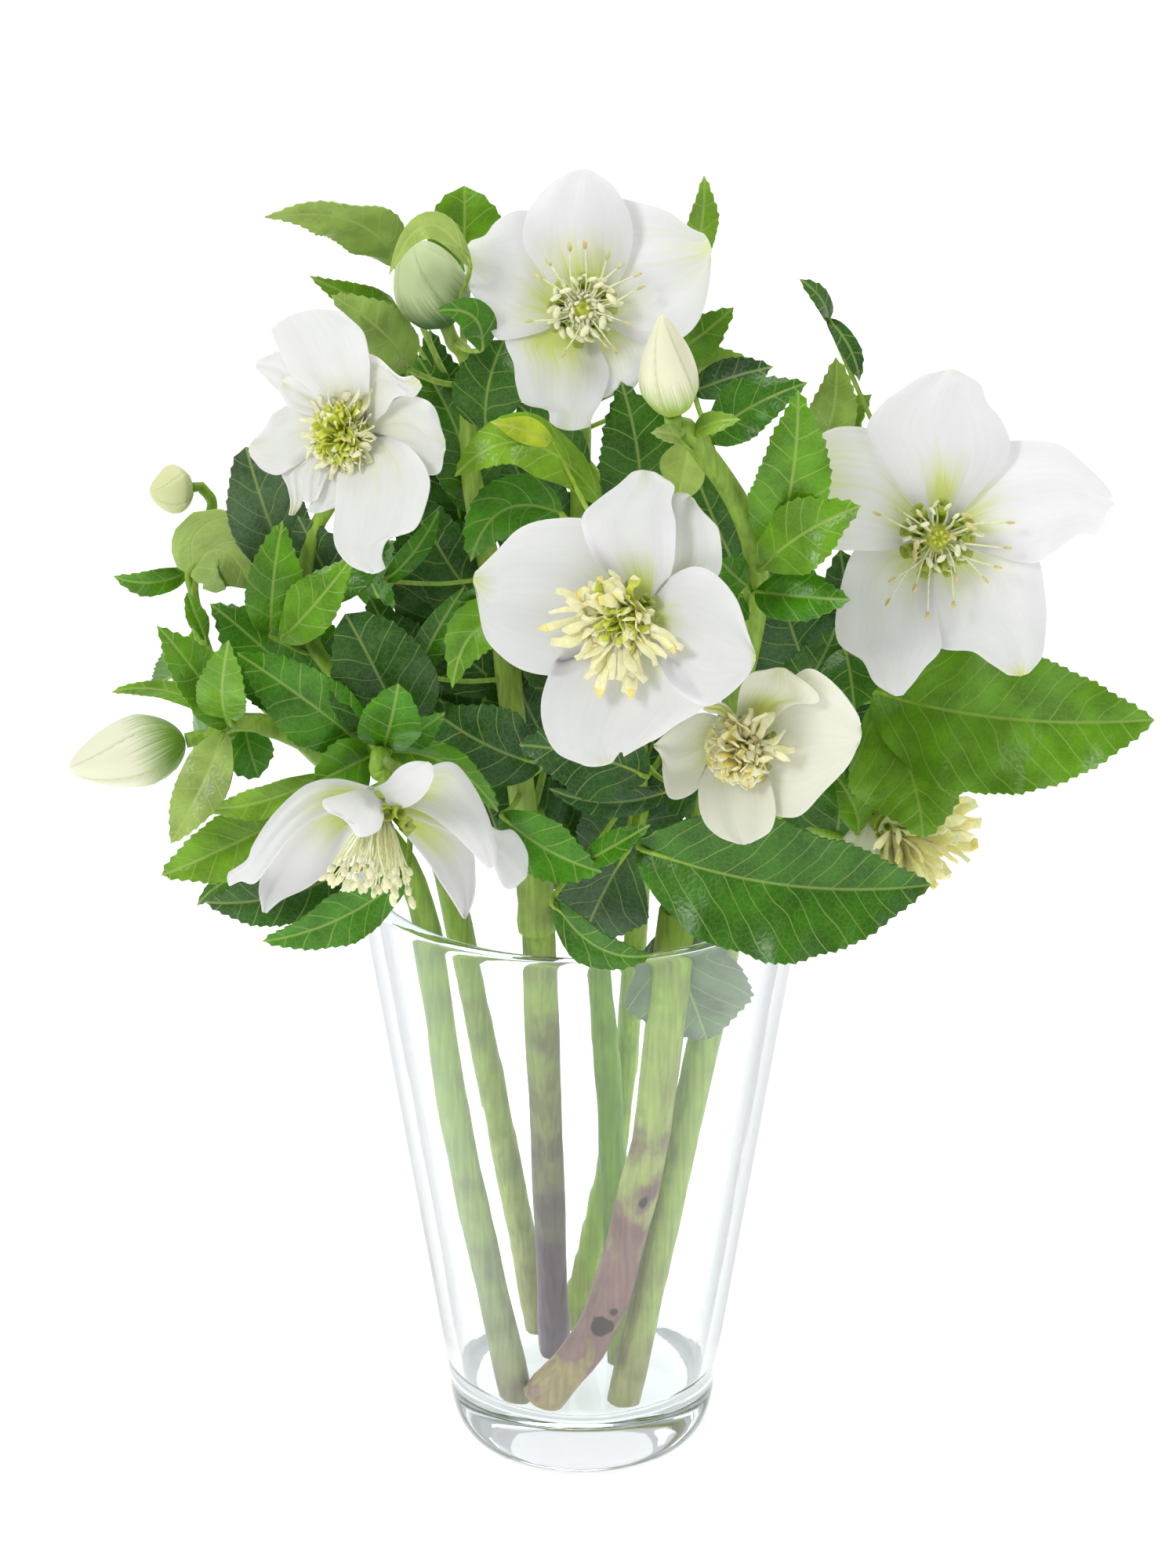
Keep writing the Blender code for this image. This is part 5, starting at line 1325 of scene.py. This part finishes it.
# Right bloom
# The widest, with five broad sepals laid flat, open nectaries in an olive ring, and few stamens left.
bloom = Corolla("right_bloom", RIGHT)
bloom.sepal(
    [(1180, 672), (1150, 625), (1122, 582), (1106, 546), (1125, 515), (1150, 497), (1178, 479), (1203, 474)],
    [(1210, 672), (1252, 625), (1282, 588), (1287, 560), (1275, 534), (1258, 514), (1250, 491), (1226, 476)],
    rise=8, layer=1.4, ruffle=0.2, cup=-0.04, blotch=1.2, reach=13, spread=0.5, stain=0.6, stain_from=0.85)
bloom.sepal(
    [(1195, 672), (1222, 610), (1258, 571), (1305, 561), (1350, 566), (1382, 590), (1408, 614), (1419, 632)],
    [(1208, 692), (1262, 706), (1300, 717), (1322, 718), (1350, 700), (1378, 682), (1403, 680), (1419, 650)],
    rise=8, layer=-1.2, tilt=1.8, cup=0.02, arch=0.03, ruffle=0.4)
bloom.sepal(
    [(1205, 686), (1275, 690), (1322, 706), (1333, 760), (1335, 800), (1330, 836), (1314, 857)],
    [(1185, 700), (1176, 750), (1180, 800), (1202, 827), (1240, 831), (1262, 845), (1286, 860)],
    rise=8, layer=-2.8, cup=0.02, ruffle=0.4, stain=0.95, stain_from=0.78)
bloom.sepal(
    [(1182, 684), (1135, 688), (1090, 700), (1070, 765), (1068, 818), (1100, 842), (1115, 870), (1138, 885)],
    [(1194, 700), (1193, 750), (1196, 795), (1200, 828), (1180, 850), (1166, 870), (1152, 886)],
    rise=8, layer=-1.6, tilt=1, cup=0.04, ruffle=0.4)
bloom.sepal(
    [(1192, 670), (1165, 612), (1130, 556), (1085, 543), (1048, 554), (1015, 585), (995, 620)],
    [(1182, 692), (1140, 700), (1100, 703), (1060, 701), (1025, 690), (1005, 670), (992, 645)],
    rise=8, layer=-0.8, tilt=1.8, cup=0.02, arch=0.03, ruffle=0.4, stain=1.5, stain_from=0.15)
bloom.finish(WHITE_SEPAL)
heart = Heart("right_bloom", RIGHT, ochre=0.1, dome=5)
heart.nectaries(15, 7.0, 4.2, spread=60)
heart.carpels(7, length=3.5)
heart.stamens(24, 6.5, 66, size=1.9, inner=20, vary=0.7, tumble=1.2, radius=0.42)
heart.loose(
    ((1288, 662), (1285, 700), (1271, 727), (1258, 738), (1220, 771), (1180, 786), (1130, 766), (1140, 742),
     (1118, 657), (1164, 748), (1147, 650), (1222, 735)),
    stand=5)
heart.finish()

# Nodding bloom
# Hangs at the lower left from a bent pedicel, seen from the side into its bell, with long stamens that
# hang out of it. Two of its sepals flip over in front.
bloom = Corolla("nodding_bloom", NODDING)
# The sepals whose inner faces turn down get painted lilac-grey shade.
bloom.sepal(
    [(475, 1004), (430, 993), (390, 1002), (350, 1038), (325, 1075), (316, 1096), (292, 1112)],
    [(460, 1030), (410, 1040), (375, 1066), (345, 1104), (325, 1127), (308, 1124), (293, 1130)],
    toward=74, ruffle=0.3, cup=0.25, arch=0.12)
bloom.sepal(
    [(460, 1020), (402, 1030), (366, 1060), (341, 1095), (330, 1132), (335, 1163)],
    [(465, 1040), (442, 1072), (424, 1105), (392, 1132), (360, 1147), (341, 1164)],
    toward=58, ruffle=0.3, cup=0.3, arch=-0.12, shade=0.5)
bloom.sepal(
    [(500, 1000), (465, 1006), (430, 1015), (412, 1022), (416, 1033), (438, 1044), (452, 1062)],
    [(502, 1010), (490, 1022), (489, 1045), (482, 1060), (468, 1067)],
    toward=102, ruffle=0.3, cup=-0.2, arch=0.25, blotch=0)
bloom.sepal(
    [(478, 1004), (494, 996), (509, 979), (528, 971), (546, 972)],
    [(476, 1022), (500, 1032), (525, 1027), (543, 1012), (553, 992), (552, 978)],
    toward=103, ruffle=0.3, cup=-0.2, arch=0.2, blotch=0)
bloom.sepal(
    [(510, 1005), (545, 980), (578, 973), (602, 1000), (622, 1040), (633, 1080), (632, 1104)],
    [(505, 1025), (540, 1036), (568, 1054), (598, 1082), (622, 1108)],
    toward=86, ruffle=0.3, cup=-0.15, arch=0.12, shade=0.08)
bloom.sepal(
    [(520, 1020), (590, 1025), (632, 1058), (655, 1059), (672, 1086), (673, 1110)],
    [(520, 1040), (590, 1070), (626, 1098), (640, 1128), (653, 1134), (665, 1124)],
    toward=70, ruffle=0.5, cup=0.1, shade=0.15)
bloom.sepal(
    [(508, 1025), (560, 1045), (600, 1080), (606, 1120), (603, 1150), (593, 1172)],
    [(495, 1040), (540, 1092), (562, 1125), (580, 1153), (591, 1171)],
    toward=58, ruffle=0.3, cup=0.3, arch=-0.1, shade=0.6)
bloom.finish(WHITE_SEPAL)
heart = Heart("nodding_bloom", NODDING, sag=5.0)
heart.nectaries(11, 7, 4.2, spread=58)
heart.stamens(40, 19, 36, size=2.0, vary=0.6, tumble=0.4, radius=0.4)
heart.stamens(20, 13, 30, size=1.8, vary=0.6, radius=0.4)
heart.finish()

# Fringed bloom
# At the far right behind the large leaf, seen from its side: small cream sepals and a thick fringe.
bloom = Corolla("fringed_bloom", FRINGED)
bloom.sepal(
    [(1115, 1025), (1100, 1036), (1090, 1050), (1072, 1078), (1082, 1100), (1100, 1108)],
    [(1122, 1045), (1118, 1060), (1118, 1085), (1112, 1102)],
    toward=26, ruffle=0.4, blotch=0.4)
bloom.sepal(
    [(1115, 1020), (1130, 1000), (1165, 985), (1205, 1000)],
    [(1115, 1045), (1150, 1055), (1190, 1060), (1220, 1040)],
    toward=8, ruffle=0.5)
bloom.sepal(
    [(1110, 1040), (1100, 1085), (1115, 1115), (1150, 1122)],
    [(1120, 1040), (1160, 1065), (1195, 1090), (1190, 1112)],
    toward=16, ruffle=0.6)
bloom.finish(make_sepal_skin("fringed bloom sepal skin", "F4F2DA", "C2CC5C"))
heart = Heart("fringed_bloom", FRINGED, lean=(0.35, -0.35), sag=2.0, core=TONGUE, dome=5)
heart.nectaries(8)
fringe_colours = ((TONGUE, FILAMENT), (FILAMENT, TONGUE), (TONGUE, GOLD))
heart.tongues(110, 18, 4.4, inner=5, spread=80, colours=fringe_colours)
heart.finish()

# Floor, light and camera
# A plain white table lit from below, a large soft lamp at the upper left front, a weak one at the right, one
# above and one behind, in pale grey surroundings that are white through the glass. A long lens looks
# slightly down on the bunch.
FLOOR_REACH = 8
FLOOR_DROP = 0.2 * MM
floor_bm = bmesh.new()
bmesh.ops.create_grid(floor_bm, x_segments=1, y_segments=1, size=FLOOR_REACH)
floor_mesh = bpy.data.meshes.new("floor")
bmesh.ops.translate(floor_bm, verts=floor_bm.verts, vec=(0, 0, -FLOOR_DROP))
floor_bm.to_mesh(floor_mesh)
floor_bm.free()
floor = bpy.data.objects.new("floor", floor_mesh)
bpy.context.scene.collection.objects.link(floor)
# Matt and lit from within, so that it stays white and soft shadows barely show on it.
paper, paper_tree = new_material("white acrylic lit from below")
paper_skin = add_node(paper_tree, "BsdfPrincipled", {"Base Color": "D8D8D8", "Roughness": 0.9,
                                                     "Specular IOR Level": 0.1, "Emission Color": "FFFFFF",
                                                     "Emission Strength": 0.62})
add_node(paper_tree, "OutputMaterial", {"Surface": paper_skin})
floor_mesh.materials.append(paper)


def add_lamp(name, at, size, watts):
    """A round soft lamp, size metres across, that points at the middle of the bunch."""
    light = bpy.data.lights.new(name, "AREA")
    light.shape = "DISK"
    light.size = size
    light.energy = watts
    lamp = bpy.data.objects.new(name, light)
    lamp.location = at
    lamp.rotation_euler = (VIEW_AIM - Vector(at)).to_track_quat("-Z", "Y").to_euler()
    bpy.context.scene.collection.objects.link(lamp)


add_lamp("key lamp", (-1.5, -1.3, 1.9), 0.8, 28)
add_lamp("fill lamp", (1.9, -1.2, 1.0), 1.4, 8)
add_lamp("top lamp", (0.2, 0.6, 2.3), 1.2, 18)
add_lamp("back lamp", (0, 4.5, 2.0), 5.0, 30)
world = bpy.data.worlds.new("pale surroundings, white as seen through the glass")
bpy.context.scene.world = world
world.use_nodes = True
world_tree = world.node_tree
around = add_node(world_tree, "TexCoord")
depth = add_node(world_tree, "SeparateXYZ", {0: around.outputs["Generated"]})
glow = add_node(world_tree, "MapRange", {"Value": depth.outputs[1], "From Min": -0.3, "From Max": 0.3,
                                         "To Min": 0.34, "To Max": 0.46})
path = add_node(world_tree, "LightPath")
passed = add_node(world_tree, "Math", {0: path.outputs["Transmission Depth"], 1: 0.5},
                  operation="GREATER_THAN")
through = add_node(world_tree, "Math", {0: passed, 1: 0.92}, operation="MULTIPLY")
brighter = add_node(world_tree, "Math", {0: glow, 1: through}, operation="MAXIMUM")
background = world_tree.nodes["Background"]
background.inputs["Color"].default_value = hex_to_linear("F3F5F7")
world_tree.links.new(brighter.outputs[0], background.inputs["Strength"])
bpy.context.scene.view_settings.view_transform = "Standard"

lens = bpy.data.cameras.new("camera")
lens.sensor_width = 36
lens.lens = lens.sensor_width * VIEW_FOCAL_PIXELS / (2 * PICTURE_MIDDLE[1])
camera = bpy.data.objects.new("camera", lens)
camera.location = EYE
camera.rotation_euler = (-TO_VIEWER).to_track_quat("-Z", "Y").to_euler()
bpy.context.scene.collection.objects.link(camera)
bpy.context.scene.camera = camera
